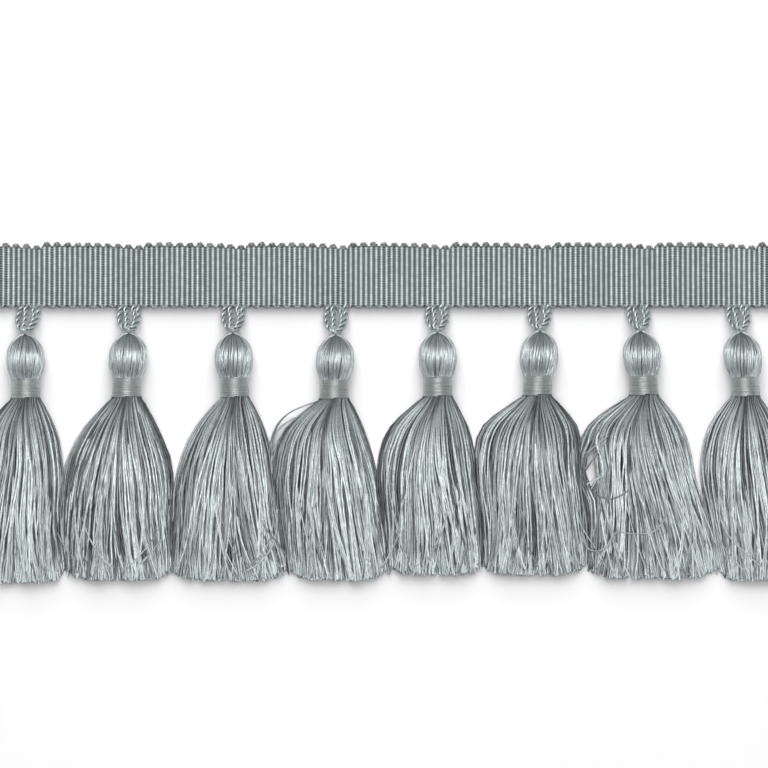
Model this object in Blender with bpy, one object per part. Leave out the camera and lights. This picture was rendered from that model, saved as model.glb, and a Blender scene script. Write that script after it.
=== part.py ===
"""A tassel fringe trim, lying face up on a flat surface.

A ribbed woven heading carries eight yarn tassels. Each tassel hangs from two small loops of twisted
cord, an outer and an inner one, which a ring of thread ties to the top of its head. A wound binding
closes the neck, and below it the yarn spreads in locks, as a skirt that lies on the surface.

+X runs along the heading, +Y from the tassels towards the heading's free edge, and +Z out of the face.
The origin is the middle of the heading's flat back. Sizes are in metres, apart from the rows of the
tables that say millimetres.
"""

import math
import random
from typing import NamedTuple

import bmesh
import bpy
from mathutils import Vector

MM = 0.001
CLEARANCE = 0.3 * MM

# The heading: a narrow warp-faced ribbon, whose stout weft turns back at each edge and so scallops it.
TASSEL_PITCH = 27.0 * MM
RIBS_PER_PITCH = 20
HEADING_WIDTH = 17.0 * MM
VALLEY_HEIGHT = 1.0 * MM
CREST_HEIGHT = 1.6 * MM
RIB_STATIONS = ((0.0, VALLEY_HEIGHT), (0.28, CREST_HEIGHT), (0.72, CREST_HEIGHT))
UPPER_SCALLOP = 1.0 * MM
LOWER_SCALLOP = 0.4 * MM
# Where the loops are woven in, the weft is pulled tight and the upper edge sinks, then springs back.
TENSION_DIP = 0.9 * MM
DIP_ENDS_PAST_TASSEL = 3.6 * MM

# The cord of the loops: two plies twisted together, so its section is longer one way than the other.
CORD_WIDE = 1.15 * MM
CORD_THIN = 0.7 * MM
CORD_TURN = 3.2 * MM
CORD_STEPS_PER_TURN = 4
LOOP_FINE_STEPS = 240
LOOP_BULGE = 0.18
LOOP_LEG_HEIGHT = 0.85 * MM
CORD_STACK = 1.5 * MM
# Their feet lie one above the other. A lower roundness exponent makes a flatter foot.
LOOPS = (
    {"name": "outer_loop", "half_width": 2.35 * MM, "roundness": 1.0, "storey": -0.5},
    {"name": "inner_loop", "half_width": 0.95 * MM, "roundness": 0.65, "storey": 0.5},
)

# The tie: a ring of thread round the foot of both loops. It hangs, so all its slack is on their upper side.
TIE_THREAD = 0.6 * MM
TIE_SLACK = 0.6 * MM
TIE_ARC_STEPS = 5

# The tassel's bundle of yarn, from the top of the head down to the hem.
AXIS_HEIGHT = 4.3 * MM
HEAD_TOP = -15.0 * MM
HEAD_LENGTH = 11.2 * MM
BINDING_LENGTH = 5.4 * MM
SKIRT_LENGTH = 48.8 * MM
NECK_RADIUS = 3.05 * MM
BINDING_THICKNESS = 0.45 * MM
BINDING_CROWN = 0.12 * MM
ROUND_SIDES = 12
# How far each section of the head lies below its top, and its half width and half height, in millimetres.
HEAD_SECTIONS = (
    {"down": 0.0, "half_width": 0.9, "half_height": 0.9},
    {"down": 0.7, "half_width": 2.3, "half_height": 2.1},
    {"down": 2.3, "half_width": 3.75, "half_height": 3.4},
    {"down": 4.6, "half_width": 4.75, "half_height": 4.35},
    {"down": 7.2, "half_width": 4.85, "half_height": 4.5},
    {"down": 9.4, "half_width": 4.3, "half_height": 4.1},
    {"down": 11.1, "half_width": 3.5, "half_height": 3.5},
)

# The locks of the skirt lie in three layers. A layer's share is the part of the skirt's width that it
# covers, first at the root and then where the skirt is spread.
LAYERS = (
    {"locks": 8, "root_share": 0.46, "spread_share": 1.0},
    {"locks": 7, "root_share": 0.64, "spread_share": 0.92},
    {"locks": 5, "root_share": 0.44, "spread_share": 0.66},
)
LOCK_GAP_SHARE = 0.16
LOCK_GAP_MOST = 0.3 * MM
LOCK_WANDER = 0.3
LOCK_RIDGE_SHARE = 0.55
LOCK_STATIONS = (0.4 * MM, 5.0 * MM, 13.0 * MM, 30.0 * MM, SKIRT_LENGTH)
LOCKS_SEED = 7
HEM_UNEVENNESS = 1.4 * MM
FLARE_LENGTH = 2.6 * MM
FLARE_RADIUS = 3.9 * MM

# Distances below the binding, in millimetres, and how high the skirt's underside and top lie there.
SPREAD_STATIONS = (0.0, 8.4, 19.4, 34.8, 48.8)
SKIRT_UNDERSIDE = (1.9, 0.0, 0.0, 0.0, 0.0)
SKIRT_TOP = (6.6, 7.3, 6.4, 5.1, 4.0)
NECK_EDGE = 4.1


class Tassel(NamedTuple):
    """How one tassel lies, in millimetres.

    top_x is where the top of its head lies along the heading, lean how far the neck lies to the right
    of that, and sag how far it hangs below the highest tassel. swing is how far the legs of its loops
    lie to the right of the head's top. left and right are the skirt's edges, counted from the neck, at
    SPREAD_STATIONS after the first, where they are the neck's own.
    """

    top_x: float
    lean: float
    sag: float
    swing: float
    left: tuple
    right: tuple


TASSELS = (
    Tassel(-94.5, 0.1, 0.8, 0.8, (-10.4, -12.8, -13.6, -13.4), (7.4, 9.2, 8.6, 9.2)),
    Tassel(-67.2, -0.6, 0.5, -0.2, (-11.1, -16.2, -17.5, -16.0), (7.6, 11.2, 11.6, 11.6)),
    Tassel(-39.8, 0.4, 0.5, 0.0, (-10.5, -14.9, -15.8, -16.0), (7.3, 9.9, 10.9, 13.2)),
    Tassel(-12.7, -0.4, 1.0, 0.0, (-13.0, -15.9, -14.3, -11.4), (7.2, 10.3, 12.3, 13.5)),
    Tassel(14.1, 0.1, 0.3, -0.1, (-12.1, -15.3, -14.1, -12.9), (7.4, 9.2, 10.9, 11.4)),
    Tassel(41.1, -0.6, 0.0, -0.1, (-14.4, -16.4, -14.6, -14.1), (10.3, 11.3, 12.4, 12.8)),
    Tassel(67.6, 0.8, 0.0, -0.5, (-14.4, -16.0, -14.6, -14.0), (9.7, 13.0, 17.3, 19.5)),
    Tassel(94.0, 1.2, 0.3, -0.6, (-9.2, -11.0, -8.5, -6.0), (9.0, 11.4, 12.5, 12.6)),
)


class Finish(NamedTuple):
    """A material's name, colour, roughness and metallic value."""

    name: str
    colour: tuple
    roughness: float
    metallic: float


RIBBED_HEADING = Finish("ribbed_heading", (0.36, 0.41, 0.41, 1.0), 0.6, 0.0)
TWISTED_CORD = Finish("twisted_cord", (0.46, 0.51, 0.51, 1.0), 0.45, 0.0)
SILKY_YARN = Finish("silky_yarn", (0.42, 0.46, 0.48, 1.0), 0.35, 0.0)
BINDING_THREAD = Finish("binding_thread", (0.34, 0.38, 0.37, 1.0), 0.5, 0.0)


def in_metres(millimetres):
    """A row of a table in metres."""
    return [number * MM for number in millimetres]


def clear_scene():
    """Removes every object of the scene that the script starts in."""
    for found in list(bpy.data.objects):
        bpy.data.objects.remove(found, do_unlink=True)


def material(finish):
    """The Blender material of a finish, made the first time it is asked for."""
    made = bpy.data.materials.get(finish.name)
    if made is None:
        made = bpy.data.materials.new(finish.name)
        made.use_nodes = True
        shader = made.node_tree.nodes["Principled BSDF"]
        shader.inputs["Base Color"].default_value = finish.colour
        shader.inputs["Roughness"].default_value = finish.roughness
        shader.inputs["Metallic"].default_value = finish.metallic
    return made


def add_object(name, data, finish):
    """A new object in the scene, of that mesh or curve and finish."""
    data.materials.append(material(finish))
    made = bpy.data.objects.new(name, data)
    bpy.context.scene.collection.objects.link(made)
    return made


def object_of(name, shape, finish):
    """A new object of a bmesh, with its faces pointing out."""
    bmesh.ops.recalc_face_normals(shape, faces=shape.faces)
    mesh = bpy.data.meshes.new(name)
    shape.to_mesh(mesh)
    shape.free()
    return add_object(name, mesh, finish)


def extrude_through(shape, rings):
    """Adds one closed solid to a bmesh: the first ring's face, extruded to each next ring in turn."""
    corners = [shape.verts.new(point) for point in rings[0]]
    face = shape.faces.new(corners)
    for ring in rings[1:]:
        made = bmesh.ops.extrude_face_region(shape, geom=[face, *face.edges, *face.verts])["geom"]
        face = next(item for item in made if isinstance(item, bmesh.types.BMFace))
        corners = [min(face.verts, key=lambda vert: (vert.co - old.co).length) for old in corners]
        for corner, point in zip(corners, ring):
            corner.co = point


def mix(first, second, share):
    """The value that lies that share of the way from first to second."""
    return first + (second - first) * share


def eased(share):
    """A share from 0 to 1, with a soft start and a soft end, held within that range."""
    held = min(1.0, max(0.0, share))
    return held * held * (3.0 - 2.0 * held)


def curve_through(stations, values, at):
    """The smooth curve through values at their stations, read at one place between the first and the last."""
    last = len(stations) - 2
    k = min(last, max(0, sum(station <= at for station in stations) - 1))

    def slope(i):
        low, high = max(0, i - 1), min(len(stations) - 1, i + 1)
        return (values[high] - values[low]) / (stations[high] - stations[low])

    span = stations[k + 1] - stations[k]
    t = (at - stations[k]) / span
    rise = mix(values[k], values[k + 1], eased(t))
    bend_in = t * (1.0 - t) ** 2 * span * slope(k)
    bend_out = t * t * (1.0 - t) * span * slope(k + 1)
    return rise + bend_in - bend_out


def tension_dip(x):
    """How far the heading's upper edge sinks at x, more and more until it springs back past a tassel."""
    first = TASSELS[0].top_x * MM + DIP_ENDS_PAST_TASSEL
    phase = ((x - first) / TASSEL_PITCH) % 1.0
    return TENSION_DIP * phase**4


def scallop(ribs, depth):
    """How far a scalloped edge lies inside the line through its tops, that many ribs along.

    Each scallop spans two ribs.
    """
    return depth * (1.0 - abs(math.sin(math.pi * ribs / 2.0)))


def make_heading():
    """The ribbed ribbon: a section across it, extruded along X from station to station of each rib."""
    ribs = RIBS_PER_PITCH * len(TASSELS)
    rib_pitch = TASSEL_PITCH / RIBS_PER_PITCH
    start = -0.5 * ribs * rib_pitch
    stations = [(rib + along, height) for rib in range(ribs) for along, height in RIB_STATIONS]
    stations.append((ribs, VALLEY_HEIGHT))
    rings = []
    for along, height in stations:
        x = start + along * rib_pitch
        dip = tension_dip(x)
        upper = 0.5 * HEADING_WIDTH - scallop(along, UPPER_SCALLOP) - dip
        lower = -0.5 * HEADING_WIDTH + scallop(along + 1.0, LOWER_SCALLOP)
        rings.append([(x, lower, 0.0), (x, upper, 0.0), (x, upper, height), (x, lower, height)])
    shape = bmesh.new()
    extrude_through(shape, rings)
    return object_of("heading", shape, RIBBED_HEADING)


def evenly_spaced(line, count):
    """That many points, the same distance apart along a line of points."""
    lengths = [0.0]
    for before, after in zip(line, line[1:]):
        lengths.append(lengths[-1] + (after - before).length)
    points = []
    k = 0
    for step in range(count):
        at = lengths[-1] * step / (count - 1)
        while k < len(line) - 2 and lengths[k + 1] < at:
            k += 1
        points.append(line[k].lerp(line[k + 1], (at - lengths[k]) / (lengths[k + 1] - lengths[k])))
    return points


def loop_line(legs, foot, row):
    """The middle line of one row of LOOPS: down its left leg, through its foot and up its right leg."""
    own_foot = foot + Vector((0.0, 0.0, row["storey"] * CORD_STACK))
    points = []
    for step in range(LOOP_FINE_STEPS + 1):
        angle = 0.5 * math.pi * (2.0 * step / LOOP_FINE_STEPS - 1.0)
        down = math.cos(angle)
        side = math.copysign(abs(math.sin(angle)) ** row["roundness"], angle)
        side *= 1.0 + LOOP_BULGE * math.sin(math.pi * down)
        points.append(legs.lerp(own_foot, down) + Vector((row["half_width"] * side, 0.0, 0.0)))
    return points


def cord_profile():
    """The flat four-sided section that the twist of two plies turns along a loop."""
    profile = bpy.data.objects.get("cord_profile")
    if profile is None:
        curve = bpy.data.curves.new("cord_profile", "CURVE")
        spline = curve.splines.new("POLY")
        spline.points.add(3)
        corners = ((0.5, 0.0), (0.0, -0.5), (-0.5, 0.0), (0.0, 0.5))
        for point, (wide, thin) in zip(spline.points, corners):
            point.co = (wide * CORD_WIDE, thin * CORD_THIN, 0.0, 1.0)
        spline.use_cyclic_u = True
        profile = bpy.data.objects.new("cord_profile", curve)
        bpy.context.scene.collection.objects.link(profile)
        profile.hide_render = True
        profile.display_type = "WIRE"
    return profile


def make_loop(name, line):
    """A twisted cord along a line of points, with closed ends."""
    length = sum((after - before).length for before, after in zip(line, line[1:]))
    steps = round(CORD_STEPS_PER_TURN * length / CORD_TURN)
    curve = bpy.data.curves.new(name, "CURVE")
    curve.dimensions = "3D"
    curve.bevel_mode = "OBJECT"
    curve.bevel_object = cord_profile()
    curve.use_fill_caps = True
    spline = curve.splines.new("POLY")
    points = evenly_spaced(line, steps + 1)
    spline.points.add(steps)
    for step, (point, place) in enumerate(zip(spline.points, points)):
        point.co = (*place, 1.0)
        point.tilt = 2.0 * math.pi * step / CORD_STEPS_PER_TURN
    return add_object(name, curve, TWISTED_CORD)


def make_tie(name, foot):
    """The ring of thread round both cords at the loops' foot: two half circles and their straight sides."""
    reach = 0.5 * (CORD_WIDE + TIE_THREAD + TIE_SLACK) + CLEARANCE
    curve = bpy.data.curves.new(name, "CURVE")
    curve.dimensions = "3D"
    curve.bevel_depth = 0.5 * TIE_THREAD
    curve.bevel_resolution = 0
    points = []
    for end, start_angle in ((0.5 * CORD_STACK, 0.0), (-0.5 * CORD_STACK, math.pi)):
        for step in range(TIE_ARC_STEPS + 1):
            angle = start_angle + math.pi * step / TIE_ARC_STEPS
            along = 0.5 * TIE_SLACK + reach * math.cos(angle)
            points.append(Vector((0.0, along, end + reach * math.sin(angle))))
    spline = curve.splines.new("POLY")
    spline.points.add(len(points) - 1)
    for point, place in zip(spline.points, points):
        point.co = (*place, 1.0)
    spline.use_cyclic_u = True
    tie = add_object(name, curve, BINDING_THREAD)
    tie.location = foot
    return tie


def bundle_sections():
    """Every section of the head, neck and flare, as (distance down, half width, half height)."""
    sections = [in_metres(row.values()) for row in HEAD_SECTIONS]
    neck_end = HEAD_LENGTH + BINDING_LENGTH
    sections.append((HEAD_LENGTH + CLEARANCE, NECK_RADIUS, NECK_RADIUS))
    sections.append((neck_end, NECK_RADIUS, NECK_RADIUS))
    sections.append((neck_end + FLARE_LENGTH, FLARE_RADIUS, FLARE_RADIUS))
    return sections


def head_top(tassel):
    """The place of the top of a tassel's head."""
    return Vector((tassel.top_x * MM, HEAD_TOP - tassel.sag * MM, AXIS_HEIGHT))


def on_axis(tassel, down):
    """The point of a tassel's axis that lies that far below its head's top."""
    lean_rate = tassel.lean * MM / (HEAD_LENGTH + 0.5 * BINDING_LENGTH)
    return head_top(tassel) + Vector((lean_rate * down, -down, 0.0))


def skirt_edges(tassel, below):
    """The x of a skirt's left and right edge, that far below the binding."""
    neck = on_axis(tassel, HEAD_LENGTH + 0.5 * BINDING_LENGTH).x
    stations = in_metres(SPREAD_STATIONS)
    left = curve_through(stations, in_metres((-NECK_EDGE, *tassel.left)), below)
    right = curve_through(stations, in_metres((NECK_EDGE, *tassel.right)), below)
    return neck + left, neck + right


def lock_section(tassel, layer, borders, below, y):
    """The four corners of a lock: flat below and narrower above, inside its own cell of the skirt's section.

    borders are the cell's two sides, counted in even cells from the left edge of the lock's layer.
    """
    left, right = skirt_edges(tassel, below)
    row = LAYERS[layer]
    share = mix(row["root_share"], row["spread_share"], eased(below / (SPREAD_STATIONS[1] * MM)))
    layer_left = 0.5 * (left + right) - 0.5 * (right - left) * share
    even_cell = (right - left) * share / row["locks"]
    cell = even_cell * (borders[1] - borders[0])
    stations = in_metres(SPREAD_STATIONS)
    underside = max(0.0, curve_through(stations, in_metres(SKIRT_UNDERSIDE), below))
    top = curve_through(stations, in_metres(SKIRT_TOP), below)
    storey = (top - underside) / len(LAYERS)
    side_gap = min(LOCK_GAP_MOST, LOCK_GAP_SHARE * even_cell)
    upper_gap = min(LOCK_GAP_MOST, LOCK_GAP_SHARE * storey)
    centre = layer_left + even_cell * borders[0] + 0.5 * cell
    foot = 0.5 * (cell - side_gap)
    ridge = foot * LOCK_RIDGE_SHARE
    low = underside + storey * layer
    high = low + storey - upper_gap
    corners = ((-foot, low), (foot, low), (ridge, high), (-ridge, high))
    return [(centre + across, y, height) for across, height in corners]


def wandering_border(number, locks, chance):
    """The side that two neighbouring locks share, at each station. A layer's own two edges don't wander."""
    if number in (0, locks):
        return [number] * len(LOCK_STATIONS)
    return [number + chance.uniform(-LOCK_WANDER, LOCK_WANDER) for _ in LOCK_STATIONS]


def make_locks(name, tassel, chance):
    """All the locks of a skirt, apart from each other. They start inside the flare, which joins them."""
    binding_end = on_axis(tassel, HEAD_LENGTH + BINDING_LENGTH).y
    shape = bmesh.new()
    for layer, row in enumerate(LAYERS):
        locks = row["locks"]
        borders = [wandering_border(number, locks, chance) for number in range(locks + 1)]
        for left_border, right_border in zip(borders, borders[1:]):
            cut_short = chance.uniform(0.0, HEM_UNEVENNESS)
            rings = []
            for sides, below in zip(zip(left_border, right_border), LOCK_STATIONS):
                y = binding_end - below + cut_short * (below == SKIRT_LENGTH)
                rings.append(lock_section(tassel, layer, sides, below, y))
            extrude_through(shape, rings)
    locks = object_of(name, shape, SILKY_YARN)
    locks.hide_render = True
    locks.display_type = "WIRE"
    return locks


def make_bundle(name, tassel, chance):
    """The tassel's yarn: head, neck and flare in one, with the skirt's locks joined to the flare."""
    rings = []
    for down, half_width, half_height in bundle_sections():
        centre = on_axis(tassel, down)
        ring = []
        for side in range(ROUND_SIDES):
            angle = 2.0 * math.pi * (side + 0.5) / ROUND_SIDES
            height = max(0.0, centre.z + half_height * math.sin(angle))
            ring.append((centre.x + half_width * math.cos(angle), centre.y, height))
        rings.append(ring)
    shape = bmesh.new()
    extrude_through(shape, rings)
    bundle = object_of(name, shape, SILKY_YARN)
    bundle.data.shade_smooth()
    join = bundle.modifiers.new("skirt", "BOOLEAN")
    join.operation = "UNION"
    join.object = make_locks(f"{name}_locks", tassel, chance)
    return bundle


def make_binding(name, tassel):
    """The thread wound round the neck, as one crowned sleeve: its section, spun about the tassel's axis.

    The flats of its bore clear the neck, so its corners lie a little further out.
    """
    inner = (NECK_RADIUS + CLEARANCE) / math.cos(math.pi / ROUND_SIDES)
    outer = inner + BINDING_THICKNESS
    half = 0.5 * BINDING_LENGTH - CLEARANCE
    section = ((inner, -half), (outer, -half), (outer + BINDING_CROWN, 0.0), (outer, half), (inner, half))
    shape = bmesh.new()
    corners = [shape.verts.new((radius, along, 0.0)) for radius, along in section]
    edges = [shape.edges.new(pair) for pair in zip(corners, corners[1:] + corners[:1])]
    turn = {"axis": (0.0, 1.0, 0.0), "cent": (0.0, 0.0, 0.0), "angle": 2.0 * math.pi, "steps": ROUND_SIDES}
    bmesh.ops.spin(shape, geom=corners + edges, use_merge=True, **turn)
    binding = object_of(name, shape, BINDING_THREAD)
    binding.data.shade_smooth()
    binding.location = on_axis(tassel, HEAD_LENGTH + 0.5 * BINDING_LENGTH + 0.5 * CLEARANCE)
    binding.rotation_euler.z = math.atan2(tassel.lean * MM, HEAD_LENGTH + 0.5 * BINDING_LENGTH)
    return binding


def make_tassel(number, tassel, chance):
    """One tassel with its two loops, its tie and its binding."""
    top = head_top(tassel)
    tie_reach = 0.5 * CORD_WIDE + CLEARANCE + TIE_THREAD
    foot = top + Vector((0.0, tie_reach + CLEARANCE, 0.0))
    legs = Vector((top.x + tassel.swing * MM, -0.5 * HEADING_WIDTH - CLEARANCE, LOOP_LEG_HEIGHT))
    for row in LOOPS:
        make_loop(f"{row['name']}_{number}", loop_line(legs, foot, row))
    make_tie(f"tie_{number}", foot)
    make_bundle(f"tassel_{number}", tassel, chance)
    make_binding(f"binding_{number}", tassel)


def main():
    """Builds the heading and its tassels."""
    clear_scene()
    make_heading()
    chance = random.Random(LOCKS_SEED)
    for number, tassel in enumerate(TASSELS, start=1):
        make_tassel(number, tassel, chance)


main()
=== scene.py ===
"""The looks of a tassel fringe trim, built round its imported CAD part.

A rep-woven heading tape carries eight silky tassels. Each one hangs from two loops of two-ply cord, which a
tie thread holds to the top of its head. Its head is yarn turned down over itself, its neck is wound with
thread, and its skirt is hundreds of cut strands that lie on the surface.

+X runs along the tape, +Y from the tassels towards the tape's free edge, and +Z out of the face. Sizes are
in metres, apart from the rows of the tables that say millimetres.
"""

import logging
import math
import random
from collections.abc import Iterable, Sequence
from dataclasses import dataclass, field
from enum import Enum

import bpy
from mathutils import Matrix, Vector

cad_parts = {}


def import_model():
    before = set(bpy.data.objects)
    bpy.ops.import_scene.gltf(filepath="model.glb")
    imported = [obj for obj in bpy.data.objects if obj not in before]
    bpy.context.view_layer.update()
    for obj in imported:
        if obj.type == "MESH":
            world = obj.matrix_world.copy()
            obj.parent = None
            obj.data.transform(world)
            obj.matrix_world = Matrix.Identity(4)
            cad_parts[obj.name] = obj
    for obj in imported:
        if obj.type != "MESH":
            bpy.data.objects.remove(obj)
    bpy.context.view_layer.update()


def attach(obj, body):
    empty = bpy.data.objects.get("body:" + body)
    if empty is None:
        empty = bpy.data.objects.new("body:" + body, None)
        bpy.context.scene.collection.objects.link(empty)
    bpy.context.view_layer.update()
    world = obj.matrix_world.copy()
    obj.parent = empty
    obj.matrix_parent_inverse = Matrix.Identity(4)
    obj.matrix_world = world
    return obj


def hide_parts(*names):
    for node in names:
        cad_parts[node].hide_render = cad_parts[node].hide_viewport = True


LOG = logging.getLogger("tassel_fringe")
MM = 0.001
BODY = "root"

Colour = tuple[float, float, float]
Pair = tuple[float, float]
Row = tuple[float, ...]
Stray = tuple[Pair, ...]
Socket = bpy.types.NodeSocket
Piece = bpy.types.Object
Material = bpy.types.Material


# ----------------------------------------------------------------------------------------------------
# Sums that the pieces share


def mix(first: float, second: float, share: float) -> float:
    """The value that lies that share of the way from first to second."""
    return first + (second - first) * share


def eased(share: float) -> float:
    """A share from 0 to 1, with a soft start and a soft end, held within that range."""
    held = min(1.0, max(0.0, share))
    return held * held * (3.0 - 2.0 * held)


def rising(at: float, start: float, end: float) -> float:
    """From 0 at the start to 1 at the end, softly."""
    return eased((at - start) / (end - start))


def curve_through(stations: Sequence[float], values: Sequence[float], at: float) -> float:
    """Reads the smooth curve through some values.

    Args:
        stations: Where the values stand, in rising order.
        values: One value for each station.
        at: The place to read, which is held between the first and the last station.

    Returns:
        The value of the curve there.
    """
    place = min(stations[-1], max(stations[0], at))
    last = len(stations) - 2
    k = min(last, max(0, sum(station <= place for station in stations) - 1))

    def slope(i: int) -> float:
        """How steep the curve is at a station."""
        low, high = max(0, i - 1), min(len(stations) - 1, i + 1)
        return (values[high] - values[low]) / (stations[high] - stations[low])

    span = stations[k + 1] - stations[k]
    t = (place - stations[k]) / span
    rise = mix(values[k], values[k + 1], eased(t))
    return rise + t * (1.0 - t) ** 2 * span * slope(k) - t * t * (1.0 - t) * span * slope(k + 1)


def in_scene(name: str, data: bpy.types.ID) -> Piece:
    """A new object with that data, in the scene."""
    piece = bpy.data.objects.new(name, data)
    bpy.context.scene.collection.objects.link(piece)
    return piece


# ----------------------------------------------------------------------------------------------------
# Node trees, for Geometry Nodes and for materials


class NodeSteps:
    """Adds nodes to a tree one step at a time, each with its inputs linked or set."""

    def __init__(self, tree: bpy.types.NodeTree) -> None:
        """Keeps the tree that the steps go into."""
        self.tree = tree

    def step(self, kind: str, sockets: dict | None = None, **settings: object) -> bpy.types.Node:
        """Adds one node.

        Args:
            kind: Blender's name for the type of node.
            sockets: What goes into its inputs, by name or number: a socket to link, or a value to set.
            **settings: The node's own settings.

        Returns:
            The new node.
        """
        node = self.tree.nodes.new(kind)
        for setting, value in settings.items():
            setattr(node, setting, value)
        for key, value in (sockets or {}).items():
            if isinstance(value, Socket):
                self.tree.links.new(value, node.inputs[key])
            else:
                node.inputs[key].default_value = value
        return node

    def sum(self, operation: str, *values: object) -> Socket:
        """The result of a Math node."""
        return self.step("ShaderNodeMath", dict(enumerate(values)), operation=operation).outputs[0]

    def plus(self, first: object, second: object) -> Socket:
        """Two numbers added."""
        return self.sum("ADD", first, second)

    def minus(self, first: object, second: object) -> Socket:
        """The first number less the second."""
        return self.sum("SUBTRACT", first, second)

    def times(self, first: object, second: object) -> Socket:
        """Two numbers multiplied."""
        return self.sum("MULTIPLY", first, second)

    def over(self, first: object, second: object) -> Socket:
        """The first number divided by the second."""
        return self.sum("DIVIDE", first, second)

    def vector_sum(self, operation: str, *values: object) -> Socket:
        """The result of a Vector Math node."""
        return self.step("ShaderNodeVectorMath", dict(enumerate(values)), operation=operation).outputs[0]

    def scaled(self, vector: Socket, share: object) -> Socket:
        """A vector times a number."""
        return self.step("ShaderNodeVectorMath", {0: vector, "Scale": share}, operation="SCALE").outputs[0]

    def joined(self, x: object, y: object, z: object) -> Socket:
        """A vector of three numbers."""
        return self.step("ShaderNodeCombineXYZ", {0: x, 1: y, 2: z}).outputs[0]

    def split(self, vector: Socket) -> tuple:
        """The three numbers of a vector."""
        return tuple(self.step("ShaderNodeSeparateXYZ", {0: vector}).outputs)

    def blend(self, share: object, first: object, second: object) -> Socket:
        """The number that lies that share of the way from first to second."""
        return self.sum("MULTIPLY_ADD", share, self.minus(second, first), first)


class Recipe(NodeSteps):
    """A Geometry Nodes tree with a named input for each of its sizes."""

    def __init__(self, name: str) -> None:
        """Starts an empty tree that takes in and gives back a geometry, and takes a finish."""
        super().__init__(bpy.data.node_groups.new(name, "GeometryNodeTree"))
        for way in ("INPUT", "OUTPUT"):
            self.tree.interface.new_socket("Geometry", in_out=way, socket_type="NodeSocketGeometry")
        self.tree.interface.new_socket("Finish", in_out="INPUT", socket_type="NodeSocketMaterial")
        self.given = self.tree.nodes.new("NodeGroupInput")

    def sizes(self, *names: str, kind: str = "NodeSocketFloat") -> list[Socket]:
        """The sockets of new named inputs."""
        for name in names:
            self.tree.interface.new_socket(name, in_out="INPUT", socket_type=kind)
        return [self.given.outputs[name] for name in names]

    def attribute(self, name: str) -> Socket:
        """The number that the geometry carries under that name."""
        return self.step("GeometryNodeInputNamedAttribute", {"Name": name}, data_type="FLOAT").outputs[0]

    def store(self, geometry: Socket, name: str, value: object) -> Socket:
        """The geometry, whose points now carry a number under that name."""
        sockets = {"Geometry": geometry, "Name": name, "Value": value}
        settings = {"data_type": "FLOAT", "domain": "POINT"}
        return self.step("GeometryNodeStoreNamedAttribute", sockets, **settings).outputs[0]

    def chance(self, key: Socket, seed: object) -> Socket:
        """A number from 0 to 1, the same for each point with that key."""
        sockets = {2: 0.0, 3: 1.0, 7: key, 8: seed}
        return self.step("FunctionNodeRandomValue", sockets, data_type="FLOAT").outputs[1]

    def lines(self) -> Socket:
        """The given edges as curves."""
        return self.step("GeometryNodeMeshToCurve", {"Mesh": self.given.outputs["Geometry"]}).outputs[0]

    def copied(self, lines: Socket, count: object) -> tuple:
        """That many copies of each line, and the number of each copy."""
        sockets = {"Geometry": lines, "Amount": count}
        return tuple(self.step("GeometryNodeDuplicateElements", sockets, domain="SPLINE").outputs)

    def own_curve(self) -> Socket:
        """The number of the curve that a point is on."""
        return self.step("GeometryNodeCurveOfPoint").outputs["Curve Index"]

    def placed(self, geometry: Socket, **where: Socket) -> Socket:
        """The geometry with its points moved to a Position, or by an Offset."""
        return self.step("GeometryNodeSetPosition", {"Geometry": geometry, **where}).outputs[0]

    def circle(self, sides: object) -> Socket:
        """A circle to sweep along a line."""
        return self.step("GeometryNodeCurvePrimitiveCircle", {"Resolution": sides, "Radius": 1.0}).outputs[0]

    def strand_section(self, sides: object) -> Socket:
        """The section of a strand, which carries the way round it."""
        way = self.step("GeometryNodeSplineParameter").outputs["Factor"]
        return self.store(self.circle(sides), "round_strand", way)

    def tubes(self, lines: Socket, section: Socket, size: object) -> Socket:
        """The section swept along each line, closed at both ends."""
        sockets = {"Curve": lines, "Profile Curve": section, "Scale": size, "Fill Caps": True}
        return self.step("GeometryNodeCurveToMesh", sockets).outputs[0]

    def end(self, geometry: Socket) -> None:
        """Smooths, realizes and finishes the geometry, and gives it back."""
        smooth = self.step("GeometryNodeSetShadeSmooth", {"Geometry": geometry, "Shade Smooth": True})
        real = self.step("GeometryNodeRealizeInstances", {"Geometry": smooth.outputs[0]})
        finish = {"Geometry": real.outputs[0], "Material": self.given.outputs["Finish"]}
        dressed = self.step("GeometryNodeSetMaterial", finish)
        self.step("NodeGroupOutput", {"Geometry": dressed.outputs[0]})

    def grow(self, name: str, guides: "Guides", finish: Material, sizes: dict[str, object]) -> Piece:
        """Runs the tree on some lines.

        Args:
            name: The name of the piece.
            guides: The lines that the tree starts from.
            finish: The material of the piece.
            sizes: A value for each named input.

        Returns:
            The piece as a plain mesh at the origin, with no modifier left on it.
        """
        source = guides.mesh(name)
        piece = in_scene(name, source)
        growth = piece.modifiers.new("growth", "NODES")
        growth.node_group = self.tree
        inputs = {
            item.name: item.identifier for item in self.tree.interface.items_tree if item.in_out == "INPUT"
        }
        for label, value in {"Finish": finish, **sizes}.items():
            growth[inputs[label]] = value
        graph = bpy.context.evaluated_depsgraph_get()
        grown = bpy.data.meshes.new_from_object(
            piece.evaluated_get(graph), preserve_all_data_layers=True, depsgraph=graph
        )
        piece.modifiers.remove(growth)
        piece.data = grown
        grown.name = name
        bpy.data.meshes.remove(source)
        return piece


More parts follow.
